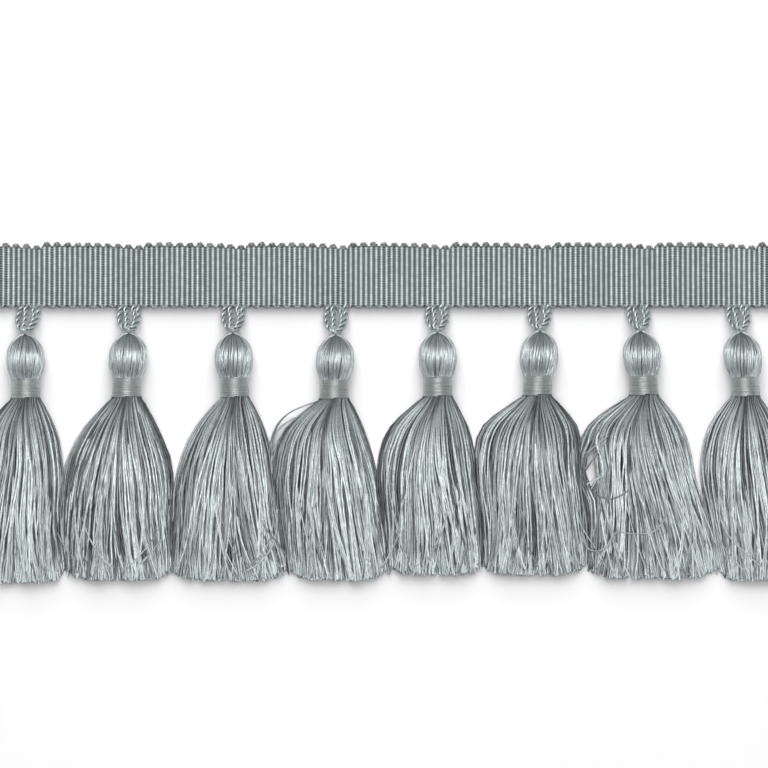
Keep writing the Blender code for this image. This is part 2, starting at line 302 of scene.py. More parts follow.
@dataclass
class Guides:
    """Lines for a recipe to follow, with numbers that each of their points carries."""

    lines: list[list[Vector]] = field(default_factory=list)
    numbers: dict[str, list[float]] = field(default_factory=dict)

    def add(self, line: Sequence[Vector], **numbers: Sequence[float] | float) -> None:
        """Adds one line.

        Args:
            line: Its points, in order.
            **numbers: What its points carry, one number for each point or one for all.
        """
        self.lines.append(list(line))
        for name, value in numbers.items():
            row = [value] * len(line) if isinstance(value, (int, float)) else list(value)
            self.numbers.setdefault(name, []).extend(row)

    def mesh(self, name: str) -> bpy.types.Mesh:
        """The lines as a mesh of edges, with the numbers as its attributes."""
        points: list[Vector] = []
        edges: list[tuple[int, int]] = []
        for line in self.lines:
            first = len(points)
            points.extend(line)
            edges.extend((first + k, first + k + 1) for k in range(len(line) - 1))
        mesh = bpy.data.meshes.new(f"{name}_guides")
        mesh.from_pydata(points, edges, [])
        for label, values in self.numbers.items():
            mesh.attributes.new(label, "FLOAT", "POINT").data.foreach_set("value", values)
        return mesh


# ----------------------------------------------------------------------------------------------------
# Finishes


class MaterialSteps(NodeSteps):
    """A material's node tree, from its pattern to its surface."""

    def __init__(self, name: str) -> None:
        """Starts a material with only its output."""
        self.material = bpy.data.materials.new(name)
        self.material.use_nodes = True
        super().__init__(self.material.node_tree)
        self.tree.nodes.clear()
        self.output = self.step("ShaderNodeOutputMaterial")

    def carried(self, name: str) -> Socket:
        """The number that the mesh carries under that name."""
        return self.step("ShaderNodeAttribute", attribute_name=name).outputs["Fac"]

    def place(self) -> Socket:
        """The Object coordinates."""
        return self.step("ShaderNodeTexCoord").outputs["Object"]

    def noise(self, vector: object, scale: float, detail: float = 2.0) -> Socket:
        """A soft noise from 0 to 1."""
        sockets = {"Vector": vector, "Scale": scale, "Detail": detail}
        return self.step("ShaderNodeTexNoise", sockets).outputs[0]

    def chance(self, x: object, y: object, z: object) -> Socket:
        """A number from 0 to 1 of that place's own."""
        return self.step("ShaderNodeTexWhiteNoise", {"Vector": self.joined(x, y, z)}).outputs[0]

    def shaded(self, colour: Colour, share: Socket) -> Socket:
        """A colour times a number."""
        flat = self.step("ShaderNodeRGB")
        flat.outputs[0].default_value = (*colour, 1.0)
        return self.scaled(flat.outputs[0], share)

    def surface(self, finish: "Finish", light: Socket, height: Socket, depth: float) -> None:
        """Ends the material in one Principled shader.

        Args:
            finish: The finish that it is the material of.
            light: The share of the finish's colour at each place.
            height: The pattern that stands proud of the surface, from 0 to 1.
            depth: How far it stands proud, in metres.
        """
        bump = self.step("ShaderNodeBump", {"Height": height, "Distance": depth, "Strength": 1.0})
        sockets = {
            "Base Color": self.shaded(finish.colour, light),
            "Roughness": finish.roughness,
            "Metallic": finish.metallic,
            "Normal": bump.outputs[0],
        }
        shader = self.step("ShaderNodeBsdfPrincipled", sockets)
        self.tree.links.new(shader.outputs[0], self.output.inputs["Surface"])


@dataclass(frozen=True)
class Finish:
    """What each finish has in common."""

    name: str
    colour: Colour
    roughness: float
    metallic: float


@dataclass(frozen=True)
class YarnFinish(Finish):
    """Silky yarn: a satin surface whose strands differ a little, and whose filaments run along them.

    darkest and lightest are the shares of the colour at a strand_shade of 0 and of 1. Along each strand,
    patches of tone and painted sheen, and shorter glints, which are painted highlights, take their depth
    off that, or add it. filaments is how many stand side by side round a strand, filament_rate how often
    they begin in a metre, and filament_depth their relief.
    """

    darkest: float = 0.72
    lightest: float = 1.16
    patch_length: float = 11.0 * MM
    patch_depth: float = 0.12
    glint_length: float = 1.3 * MM
    glint_depth: float = 0.3
    filaments: float = 5.0
    filament_rate: float = 260.0
    filament_depth: float = 0.03 * MM

    def material(self) -> Material:
        """The material, made of what each strand carries: its own shade, and the way along it."""
        steps = MaterialSteps(self.name)
        shade = steps.carried("strand_shade")
        along = steps.carried("along_strand")
        round_it = steps.carried("round_strand")
        own_row = steps.times(shade, 90.0)
        # Tone and painted sheen in patches along each strand, and shorter painted glints.
        in_patches = steps.joined(steps.over(along, self.patch_length), own_row, 0.0)
        patches = steps.noise(in_patches, 1.0, 1.0)
        aside = steps.times(round_it, 2.0)
        in_glints = steps.joined(steps.over(along, self.glint_length), own_row, aside)
        glints = steps.noise(in_glints, 1.0, 1.0)
        light = steps.blend(shade, self.darkest, self.lightest)
        patches = steps.blend(patches, 1.0 - self.patch_depth, 1.0 + self.patch_depth)
        glints = steps.blend(glints, 1.0 - self.glint_depth, 1.0 + self.glint_depth)
        along_filaments = steps.times(along, self.filament_rate)
        round_filaments = steps.times(round_it, self.filaments)
        filaments = steps.noise(steps.joined(along_filaments, round_filaments, own_row), 1.6)
        light = steps.times(light, steps.times(patches, glints))
        steps.surface(self, light, filaments, self.filament_depth)
        return steps.material


@dataclass(frozen=True)
class WovenFinish(Finish):
    """Rep weave: fine warp threads that cover the ribs, each with its own slight shade and its twist.

    thread_shades, rib_shades and soil are the least and the most that a thread, a rib and a place change
    the colour by. Painted shade darkens the valley between two ribs: the colour goes from valley_shade of
    itself to the full colour between two shares of the rib's pitch, valley_ends. The threads move that
    edge of the painted shade out and in by tooth, slanted by tooth_slant, and shifted in each valley by
    up to tooth_offset, both in radians of the threads' wave.
    twist_rate is the twist of the threads in radians a metre, and twist_depth its relief.
    """

    rib_pitch: float
    thread_shades: Pair = (0.86, 1.1)
    rib_shades: Pair = (-0.06, 0.06)
    soil: Pair = (0.9, 1.1)
    valley_shade: float = 0.13
    valley_ends: Pair = (0.09, 0.24)
    tooth: float = 0.145
    tooth_slant: float = 1.5
    tooth_offset: float = 1.1
    twist_rate: float = 3600.0
    twist_depth: float = 0.03 * MM

    def valleys(self, steps: MaterialSteps, ribs: Socket) -> Socket:
        """The share of the colour that the painted shade in the valleys leaves, from the way along the tape,
        counted in ribs.
        """
        along = steps.minus(ribs, steps.sum("FLOOR", ribs))
        from_valley = steps.minus(0.5, steps.sum("ABSOLUTE", steps.minus(along, 0.5)))
        valley = steps.sum("ROUND", ribs)
        aside = steps.times(steps.minus(ribs, valley), self.tooth_slant)
        offset = steps.blend(steps.chance(valley, 0.0, 5.0), -self.tooth_offset, self.tooth_offset)
        aside = steps.plus(aside, offset)
        ridge = steps.sum("COSINE", steps.sum("MULTIPLY_ADD", steps.carried("row"), math.pi, aside))
        sockets = {
            "Value": steps.sum("MULTIPLY_ADD", ridge, self.tooth, from_valley),
            "From Min": self.valley_ends[0],
            "From Max": self.valley_ends[1],
            "To Min": self.valley_shade,
            "To Max": 1.0,
        }
        return steps.step("ShaderNodeMapRange", sockets, interpolation_type="SMOOTHSTEP").outputs[0]

    def material(self) -> Material:
        """The material, made of the ribs' place and of the warp threads that the tape carries."""
        steps = MaterialSteps(self.name)
        place = steps.place()
        x, _, _ = steps.split(place)
        ribs = steps.over(x, self.rib_pitch)
        rib = steps.sum("FLOOR", ribs)
        thread = steps.plus(steps.carried("row"), steps.carried("weave"))
        own_thread = steps.sum("FLOOR", steps.sum("MULTIPLY_ADD", thread, 0.5, 0.5))
        thread_light = steps.blend(steps.chance(rib, own_thread, 0.0), *self.thread_shades)
        rib_light = steps.blend(steps.chance(rib, 0.0, 3.0), *self.rib_shades)
        light = steps.plus(thread_light, rib_light)
        light = steps.times(light, steps.blend(steps.noise(place, 90.0), *self.soil))
        # Painted shade in the valleys between the ribs, with a toothed edge.
        light = steps.times(light, self.valleys(steps, ribs))
        slant = steps.sum("MULTIPLY_ADD", x, self.twist_rate, steps.times(thread, math.pi))
        twist = steps.sum("MULTIPLY_ADD", steps.sum("SINE", slant), 0.5, 0.5)
        steps.surface(self, light, twist, self.twist_depth)
        return steps.material


@dataclass(frozen=True)
class FloorFinish(Finish):
    """The plain pale floor."""

    def material(self) -> Material:
        """The material, with a very faint mottle."""
        steps = MaterialSteps(self.name)
        mottle = steps.noise(steps.place(), 14.0)
        steps.surface(self, steps.blend(mottle, 0.99, 1.01), mottle, 0.0)
        return steps.material


# ----------------------------------------------------------------------------------------------------
# What the recipes make


def strands_recipe() -> Recipe:
    """The recipe for strands that follow lines, each line with its own lock of them.

    Its lines carry thickness, the strand's radius, and spread, the radius of the lock, at each point. They
    may carry shade_shift, which makes a whole lock lighter or darker, mostly as painted shade and painted
    light, and evenness, which brings the strands of the lock from their own shades, at 0, to one shade, at
    1.
    """
    recipe = Recipe("strands")
    count, sides, seed = recipe.sizes("Strands in a lock", "Sides", "Seed", kind="NodeSocketInt")
    crossing, flatness, darkest = recipe.sizes("Crossing", "Flatness", "Darkest shade")
    wander, lift, wander_length, crinkle = recipe.sizes("Wander", "Lift", "Wander length", "Crinkle")
    uneven_ends, uneven_thickness = recipe.sizes("Uneven ends", "Uneven thickness")

    strands, _ = recipe.copied(recipe.lines(), count)
    own = recipe.own_curve()
    way = recipe.step("GeometryNodeSplineParameter")
    share, length = way.outputs["Factor"], way.outputs["Length"]

    def chances(number: int) -> Socket:
        """A number from 0 to 1 of each strand's own."""
        return recipe.chance(own, recipe.plus(seed, float(number)))

    def in_lock(first: int) -> Socket:
        """A strand's place in its lock's round section, as a vector."""
        turn = recipe.times(chances(first), 2.0 * math.pi)
        reach = recipe.sum("SQRT", chances(first + 1))
        across = recipe.times(recipe.sum("COSINE", turn), reach)
        up = recipe.times(recipe.sum("SINE", turn), reach)
        return recipe.joined(across, 0.0, recipe.times(up, flatness))

    straying = recipe.sum("POWER", chances(8), 4.0)
    reach = recipe.blend(straying, 0.8, crossing)
    at_root, at_hem = in_lock(1), recipe.scaled(in_lock(3), reach)
    between = {"Factor": recipe.sum("POWER", share, 1.3), 4: at_root, 5: at_hem}
    towards = recipe.step("ShaderNodeMix", between, data_type="VECTOR").outputs[1]
    in_place = recipe.scaled(towards, recipe.attribute("spread"))

    own_row = recipe.times(own, 7.31)
    waves = recipe.joined(recipe.over(length, wander_length), own_row, seed)
    wavy = {"Vector": waves, "Scale": 1.0, "Detail": 2.0, "Roughness": crinkle}
    noise = recipe.step("ShaderNodeTexNoise", wavy).outputs["Color"]
    swing = recipe.vector_sum("SUBTRACT", noise, (0.5, 0.5, 0.5))
    sway = recipe.vector_sum("MULTIPLY", swing, recipe.joined(wander, 0.0, lift))
    wandering = recipe.scaled(sway, recipe.sum("POWER", share, 0.5))

    cut = recipe.times(recipe.sum("POWER", share, 6.0), uneven_ends)
    shift = recipe.joined(
        recipe.times(recipe.minus(chances(9), 0.5), cut),
        recipe.times(recipe.minus(chances(5), 0.5), cut),
        0.0,
    )
    offset = recipe.vector_sum("ADD", recipe.vector_sum("ADD", in_place, wandering), shift)
    moved = recipe.vector_sum("ADD", recipe.step("GeometryNodeInputPosition").outputs[0], offset)
    x, y, z = recipe.split(moved)
    thickness = recipe.attribute("thickness")
    on_floor = recipe.joined(x, y, recipe.sum("MAXIMUM", z, thickness))
    strands = recipe.placed(strands, Position=on_floor)
    own_shade = recipe.blend(recipe.attribute("evenness"), chances(6), 0.5)
    # shade_shift adds painted shade and painted light to each strand's own shade.
    shade = recipe.plus(own_shade, recipe.attribute("shade_shift"))
    shade = recipe.sum("MINIMUM", recipe.sum("MAXIMUM", shade, darkest), 1.0)
    strands = recipe.store(strands, "strand_shade", shade)
    strands = recipe.store(strands, "along_strand", length)

    own_size = recipe.blend(chances(7), recipe.minus(1.0, uneven_thickness), 1.0)
    size = recipe.times(thickness, own_size)
    recipe.end(recipe.tubes(strands, recipe.strand_section(sides), size))
    return recipe


def strand_sizes(sides: int, strands: int = 1, seed: int = 0, **others: float) -> dict[str, object]:
    """The sizes for strands that lie exactly on their lines.

    Args:
        sides: How many sides each strand has.
        strands: How many strands follow each line.
        seed: The seed of the chances.
        **others: The sizes that differ from that, by name, with _ for each space.

    Returns:
        A value for each input of strands_recipe.
    """
    sizes = {
        "Strands in a lock": strands,
        "Sides": sides,
        "Crossing": 1.0,
        "Wander": 0.0,
        "Lift": 0.0,
        "Wander length": 10.0 * MM,
        "Crinkle": 0.0,
        "Uneven ends": 0.0,
        "Uneven thickness": 0.0,
        "Flatness": 1.0,
        "Darkest shade": -1.6,
        "Seed": seed,
    }
    return sizes | {name.replace("_", " "): value for name, value in others.items()}


# A strand_shade far below 0: painted shade for the core, which is seen only in the crevice between two
# plies.
PAINTED_CREVICE_SHADE = -1.4


def twisted_cord_recipe() -> Recipe:
    """The recipe for cord of several plies twisted together, along lines, round a core that fills it,
    coloured near black as painted shade for the crevices between the plies.

    Its lines carry shade_shift, which makes them lighter or darker, in part as painted shade.
    """
    recipe = Recipe("twisted_cord")
    plies, sides = recipe.sizes("Plies", "Sides", kind="NodeSocketInt")
    ply_radius, ply_reach, core_radius = recipe.sizes("Ply radius", "Ply reach", "Core radius")
    turn, step = recipe.sizes("Turn", "Step")

    stepped = {"Curve": recipe.lines(), "Length": step}
    lines = recipe.step("GeometryNodeResampleCurve", stepped, mode="LENGTH").outputs[0]
    length = recipe.step("GeometryNodeSplineParameter").outputs["Length"]
    lines = recipe.store(lines, "along_strand", length)
    strands, number = recipe.copied(lines, plies)
    turns = recipe.plus(recipe.over(length, turn), recipe.over(number, plies))
    angle = recipe.times(turns, 2.0 * math.pi)
    normal = recipe.step("GeometryNodeInputNormal").outputs[0]
    tangent = recipe.step("GeometryNodeInputTangent").outputs[0]
    sideways = recipe.vector_sum("CROSS_PRODUCT", tangent, normal)
    along_normal = recipe.scaled(normal, recipe.sum("COSINE", angle))
    outward = recipe.vector_sum("ADD", along_normal, recipe.scaled(sideways, recipe.sum("SINE", angle)))
    strands = recipe.placed(strands, Offset=recipe.scaled(outward, ply_reach))
    shade = recipe.plus(recipe.chance(recipe.own_curve(), 3), recipe.attribute("shade_shift"))
    strands = recipe.store(strands, "strand_shade", shade)
    section = recipe.strand_section(sides)
    # Painted shade: a near-black line along the middle, seen only between the plies.
    crevice_shade_line = recipe.store(lines, "strand_shade", PAINTED_CREVICE_SHADE)
    whole = recipe.step("GeometryNodeJoinGeometry")
    for line, radius in ((strands, ply_radius), (crevice_shade_line, core_radius)):
        recipe.tree.links.new(recipe.tubes(line, section, radius), whole.inputs[0])
    recipe.end(whole.outputs[0])
    return recipe


def ribbed_tape_recipe() -> Recipe:
    """The recipe for a tape with ribs across it, swept along its middle line.

    Its line carries, at each point, face and back, how high the ribs' surface lies above and below the
    middle, ripple, how far the warp threads stand proud, weave, which is 0 or 1 from rib to rib,
    lower and upper, where the tape's edges lie, and dip, how far its upper edge sinks.
    """
    recipe = Recipe("ribbed_tape")
    (rows,) = recipe.sizes("Rows", kind="NodeSocketInt")
    face_rows, back_rows = recipe.sizes("Face rows", "Back rows")
    middle, rounding, lower_lift = recipe.sizes("Middle height", "Edge rounding", "Lower lift")

    row_number = recipe.step("GeometryNodeInputIndex").outputs[0]
    section = recipe.store(recipe.circle(rows), "row", row_number)
    swept = recipe.tubes(recipe.lines(), section, 0.0)

    row = recipe.attribute("row")
    on_face = recipe.sum("LESS_THAN", row, recipe.plus(face_rows, 0.5))
    face_share = recipe.over(row, face_rows)
    from_face = recipe.minus(row, face_rows)
    back_share = recipe.minus(1.0, recipe.over(from_face, back_rows))
    share = recipe.blend(on_face, back_share, face_share)
    lower, upper = recipe.attribute("lower"), recipe.attribute("upper")
    flat_y = recipe.blend(share, lower, upper)
    from_lower, from_upper = recipe.minus(flat_y, lower), recipe.minus(upper, flat_y)
    from_edge = recipe.sum("MAXIMUM", recipe.sum("MINIMUM", from_lower, from_upper), 0.0)
    sinking = recipe.times(recipe.sum("POWER", share, 8.0), recipe.attribute("dip"))
    y = recipe.minus(flat_y, sinking)
    inward = recipe.sum("MINIMUM", 1.0, recipe.over(from_edge, rounding))
    short = recipe.minus(1.0, inward)
    edge = recipe.sum("SQRT", recipe.minus(1.0, recipe.times(short, short)))
    thread = recipe.plus(row, recipe.attribute("weave"))
    threads = recipe.sum("COSINE", recipe.times(thread, math.pi))
    face = recipe.sum("MULTIPLY_ADD", threads, recipe.attribute("ripple"), recipe.attribute("face"))
    back = recipe.times(recipe.attribute("back"), -1.0)
    risen = recipe.sum("POWER", recipe.minus(1.0, share), 3.0)
    level = recipe.sum("MULTIPLY_ADD", lower_lift, risen, middle)
    height = recipe.sum("MULTIPLY_ADD", recipe.blend(on_face, back, face), edge, level)
    x, _, _ = recipe.split(recipe.step("GeometryNodeInputPosition").outputs[0])
    recipe.end(recipe.placed(swept, Position=recipe.joined(x, y, height)))
    return recipe


# ----------------------------------------------------------------------------------------------------
# Where the tassels hang


@dataclass(frozen=True)
class Lay:
    """How one tassel lies, in millimetres.

    top_x is where the top of its head lies along the tape, lean how far the neck lies to the right of
    that, and sag how far it hangs below the highest tassel. swing is how far the legs of its loops lie to
    the right of the head's top. left and right are the skirt's edges, counted from the neck, at SPREAD_AT,
    and trimmed is how much shorter it was cut than the longest one. opening is where its locks leave a gap
    between them: its middle and half width, as shares of the skirt's half width, and how far below the
    binding it begins and ends. sweep is how far its strands slant to the right, as a share of that width.
    """

    top_x: float
    lean: float
    sag: float
    swing: float
    left: Row
    right: Row
    trimmed: float
    opening: Row = ()
    sweep: float = 0.0


HEAD_TOP = -15.0 * MM
AXIS_HEIGHT = 4.3 * MM
HEAD_LENGTH = 11.4 * MM
BINDING_LENGTH = 5.5 * MM
SKIRT_LENGTH = 48.5 * MM
TAPE_WIDTH = 17.0 * MM
TASSEL_PITCH = 27.0 * MM
RIB_PITCH = 1.35 * MM
NECK_EDGE = 3.7
SPREAD_AT = (0.0, 8.4, 19.4, 34.8, 48.8)

LAYS = (
    Lay(-94.5, 0.1, 0.8, 0.8, (-10.4, -12.8, -13.6, -13.4), (7.4, 9.2, 8.6, 9.2), 0.0, sweep=-0.35),
    Lay(-67.2, -0.6, 0.5, -0.2, (-11.1, -16.2, -17.5, -16.0), (7.6, 11.2, 11.6, 11.6), 0.45),
    Lay(-39.8, 0.4, 0.5, 0.0, (-10.5, -14.9, -15.8, -16.0), (7.3, 9.9, 10.9, 13.2), 0.25),
    Lay(-12.7, -0.4, 1.0, 0.0, (-13.0, -15.9, -14.3, -11.4), (7.2, 10.3, 12.3, 13.5), 0.9, sweep=-0.35),
    Lay(14.1, 0.1, 0.3, -0.1, (-12.1, -15.3, -14.1, -12.9), (7.4, 9.2, 10.9, 11.4), 1.6),
    Lay(41.1, -0.6, 0.0, -0.1, (-14.4, -16.4, -14.6, -14.1), (10.3, 11.3, 12.4, 12.8), 1.3, sweep=-0.2),
    Lay(
        67.6, 0.8, 0.0, -0.5, (-14.4, -16.0, -14.6, -14.0), (9.7, 13.0, 17.3, 19.5), 0.35,
        opening=(-0.8, 0.16, 12.0, 27.5),
    ),
    Lay(94.0, 1.2, 0.3, -0.6, (-9.2, -11.0, -8.5, -6.0), (9.0, 11.4, 12.5, 12.6), 0.1),
)

# Single strands that left their skirt, by tassel: where each one lies, in millimetres in the shared frame.
STRAYS: dict[int, tuple[Stray, ...]] = {
    2: (
        ((-80.5, -62.0), (-77.9, -69.3), (-75.0, -74.0), (-71.8, -77.6)),
        ((-87.5, -65.5), (-84.5, -71.5), (-81.9, -75.6)),
        ((-58.2, -64.5), (-61.5, -70.5), (-65.8, -75.6), (-68.6, -78.0)),
        ((-56.2, -66.5), (-60.4, -72.0), (-64.5, -76.6)),
    ),
    3: (
        ((-28.6, -58.0), (-28.3, -65.6), (-29.7, -71.9), (-33.3, -76.2), (-36.4, -77.9)),
        ((-30.1, -60.0), (-29.3, -66.0), (-31.4, -72.5), (-35.4, -76.7)),
        ((-33.6, -60.0), (-31.6, -66.5), (-27.3, -72.0), (-24.6, -76.6)),
        ((-42.9, -64.0), (-39.9, -71.9), (-36.4, -75.6), (-34.2, -77.4)),
    ),
    4: (
        ((-14.6, -32.6), (-20.4, -34.4), (-25.2, -36.6), (-28.2, -39.8), (-29.6, -43.7), (-29.9, -47.5)),
        ((-19.0, -36.6), (-24.2, -38.2), (-28.1, -41.4), (-29.2, -45.1), (-30.0, -50.5)),
        ((-20.0, -38.2), (-25.0, -40.4), (-27.9, -44.2), (-28.8, -49.0), (-29.2, -54.0)),
    ),
    5: (
        ((7.0, -55.0), (4.6, -62.0), (3.6, -69.0), (0.6, -75.5), (-1.6, -77.6)),
        ((17.0, -58.0), (16.2, -65.0), (13.4, -72.0), (10.6, -77.6)),
    ),
    6: (
        ((47.0, -50.0), (49.8, -58.0), (52.0, -66.0), (56.4, -73.5), (57.6, -76.5)),
        ((33.0, -56.0), (36.4, -63.0), (37.2, -70.0), (40.6, -76.8)),
    ),
    7: (
        ((53.4, -54.2), (54.2, -56.4), (55.9, -58.0), (58.0, -58.9), (60.3, -59.0), (62.4, -58.2),
         (64.1, -56.7)),
        ((60.5, -41.5), (58.5, -42.9), (55.6, -45.2), (53.2, -47.6)),
        ((59.4, -43.0), (57.2, -45.5), (55.2, -48.4), (53.4, -51.6)),
        ((52.4, -66.5), (53.7, -71.9), (56.4, -72.9), (59.0, -71.6), (61.2, -68.0), (65.3, -68.3),
         (70.6, -67.9), (73.4, -65.2), (74.6, -61.3), (73.9, -55.0)),
        ((63.2, -41.0), (60.4, -47.6), (59.0, -53.6), (59.4, -60.4)),
    ),
    8: (
        ((86.8, -62.0), (88.6, -69.8), (91.6, -74.8), (95.0, -78.4)),
        ((87.8, -60.0), (90.4, -68.0), (95.6, -73.6), (99.6, -77.0)),
    ),
}

# How much darker or lighter the strays of some tassels are than the middle shade of their yarn.
STRAY_SHADES = {4: -0.3, 7: -0.08}


def tension_dip(x: float) -> float:
    """How far the tape's upper edge sinks at x, more and more until it springs back past a tassel."""
    deepest, ends_past_tassel = 0.9 * MM, 3.6 * MM
    phase = ((x - LAYS[0].top_x * MM - ends_past_tassel) / TASSEL_PITCH) % 1.0
    return deepest * phase**4


# ----------------------------------------------------------------------------------------------------
# The tape


class Side(Enum):
    """The two edges of the tape, and which way each one faces."""

    UPPER = 1
    LOWER = -1


@dataclass
class Tape:
    """The rep-woven heading, and the stout weft cord that shows where it turns at each edge.

    thread_rows and back_rows are the rows of points across its face and its back. The turns are arches
    that stand arch_rise beyond the tape's width, more or less by a length within arch_uneven and aslant
    by up to arch_skew, both in millimetres, and are darker by arch_crevice, as painted shade, where they go
    in.
    """

    finish: Material
    weft_finish: Material
    ribs: int = 160
    rib_pitch: float = RIB_PITCH
    middle: float = 0.8 * MM
    thread_rows: int = 50
    back_rows: int = 8
    rounding: float = 0.45 * MM
    # The tassels are thicker than the tape, so their loops lift its lower edge.
    lower_lift: float = 0.85 * MM
    # Along one rib: the share of its pitch, how high its face and its back stand, and the threads' relief.
    stations: tuple[Row, ...] = (
        (0.0, 0.05, 0.30, 0.0),
        (0.12, 0.40, 0.55, 0.10),
        (0.28, 0.72, 0.68, 0.08),
        (0.5, 0.80, 0.70, 0.04),
        (0.72, 0.72, 0.68, 0.08),
        (0.88, 0.40, 0.55, 0.10),
    )
    # How far inside the tape's width its woven part ends, at each edge.
    upper_inset: float = 0.85 * MM
    lower_inset: float = 0.1 * MM
    arch_width: float = 1.4 * MM
    arch_ply: float = 0.27 * MM
    arch_steps: int = 12
    arch_rise: float = 0.35 * MM
    arch_uneven: Pair = (-0.15, 0.1)
    arch_skew: float = 0.2
    arch_roundness: float = 1.5
    arch_tuck: float = 0.9 * MM
    arch_lift: float = 0.1 * MM
    arch_crevice: float = 0.9
    upper_arch_shade: float = -0.4
    lower_arch_shade: float = -0.1

    @property
    def start(self) -> float:
        """Where the tape's first rib begins."""
        return -0.5 * self.ribs * self.rib_pitch

    def edge(self, side: Side) -> float:
        """Where the woven part ends, below the turns of the weft."""
        if side is Side.UPPER:
            return 0.5 * TAPE_WIDTH - self.upper_inset
        return -0.5 * TAPE_WIDTH + self.lower_inset

    def build_weave(self) -> Piece:
        """The ribbed tape itself."""
        guides = Guides()
        points: list[Vector] = []
        numbers: dict[str, list[float]] = {
            name: [] for name in ("face", "back", "ripple", "weave", "lower", "upper", "dip")
        }
        rows = [(rib, *row) for rib in range(self.ribs) for row in self.stations]
        rows.append((self.ribs, *self.stations[0]))
        for rib, along, face, back, ripple in rows:
            points.append(Vector((self.start + (rib + along) * self.rib_pitch, 0.0, self.middle)))
            dip = tension_dip(self.start + (rib + 0.5) * self.rib_pitch)
            relief = (face * MM, back * MM, ripple * MM, float(rib % 2))
            values = (*relief, self.edge(Side.LOWER), self.edge(Side.UPPER), dip)
            for name, value in zip(numbers, values):
                numbers[name].append(value)
        guides.add(points, **numbers)
        sizes = {
            "Face rows": float(self.thread_rows),
            "Back rows": float(self.back_rows),
            "Rows": self.thread_rows + self.back_rows,
            "Middle height": self.middle,
            "Edge rounding": self.rounding,
            "Lower lift": self.lower_lift,
        }
        return ribbed_tape_recipe().grow("heading_tape", guides, self.finish, sizes)

    def add_turn(self, guides: Guides, number: int, side: Side, chance: random.Random) -> None:
        """Adds the middle line of one turn of the weft, from one rib to the next, with painted shade where
        it goes in.
        """
        ribs_before = 2 * number + (1 if side is Side.UPPER else 0)
        x = self.start + (ribs_before + 1.0) * self.rib_pitch
        sunk = tension_dip(x) if side is Side.UPPER else 0.0
        edge = self.edge(side) - sunk
        rise = self.arch_rise + chance.uniform(*self.arch_uneven) * MM
        top = side.value * (0.5 * TAPE_WIDTH + rise) - sunk
        cord_radius = 1.8 * self.arch_ply
        reach = abs(top - edge) - cord_radius
        skew = chance.uniform(-self.arch_skew, self.arch_skew) * MM
        height = self.middle + (self.lower_lift if side is Side.LOWER else 0.0)
        shade = self.upper_arch_shade if side is Side.UPPER else self.lower_arch_shade
        points, shift = [], []
        for step in range(self.arch_steps + 1):
            angle = math.pi * step / self.arch_steps
            across = -0.5 * self.arch_width * math.cos(angle) + skew * math.sin(angle)
            out = math.sin(angle) ** self.arch_roundness
            points.append(Vector((x + across, edge + side.value * reach * out, height + self.arch_lift)))
            # Painted shade on the turn, deepest where it goes in under the warp.
            shift.append(shade - self.arch_crevice * (1.0 - out))
        ends = [
            Vector((x + way * 0.5 * self.rib_pitch, edge - side.value * self.arch_tuck, height))
            for way in (-1, 1)
        ]
        guides.add([ends[0], *points, ends[1]], shade_shift=[shift[0], *shift, shift[-1]])

    def build_turns(self, side: Side, recipe: Recipe) -> Piece:
        """The turns of the weft along one edge."""
        guides = Guides()
        whole = self.ribs // 2 - (1 if side is Side.UPPER else 0)
        chance = random.Random(whole)
        for number in range(whole):
            self.add_turn(guides, number, side, chance)
        name = f"weft_turns_{side.name.lower()}"
        sizes = {
            "Plies": 2,
            "Ply radius": self.arch_ply,
            "Ply reach": 0.8 * self.arch_ply,
            "Turn": 1.5 * MM,
            "Step": 0.26 * MM,
            "Core radius": 1.1 * self.arch_ply,
            "Sides": 5,
        }
        return recipe.grow(name, guides, self.weft_finish, sizes)


# ----------------------------------------------------------------------------------------------------
# A tassel


@dataclass
class Hang:
    """Where the parts of one tassel lie."""

    lay: Lay

    @property
    def top(self) -> Vector:
        """The top of the head."""
        return Vector((self.lay.top_x * MM, HEAD_TOP - self.lay.sag * MM, AXIS_HEIGHT))

    def axis(self, down: float) -> Vector:
        """The point of the tassel's axis that lies that far below the head's top."""
        rate = self.lay.lean * MM / (HEAD_LENGTH + 0.5 * BINDING_LENGTH)
        return self.top + Vector((rate * down, -down, 0.0))

    def under(self, below: float) -> Vector:
        """The point of the axis that lies that far below the binding."""
        return self.axis(HEAD_LENGTH + BINDING_LENGTH + below)


@dataclass(frozen=True)
class LoopShape:
    """The shape of one of the two cords.

    half_width is half the distance between its legs, roundness the exponent that rounds its foot, storey
    how far its foot lies above the other one's, counted in stacks, and slant how far its middle lies to
    the right of the straight way down.
    """

    half_width: float
    roundness: float
    storey: float
    slant: float


OUTER_LOOP = LoopShape(half_width=2.25 * MM, roundness=0.38, storey=-0.5, slant=-0.1 * MM)
INNER_LOOP = LoopShape(half_width=1.0 * MM, roundness=0.38, storey=0.5, slant=0.55 * MM)


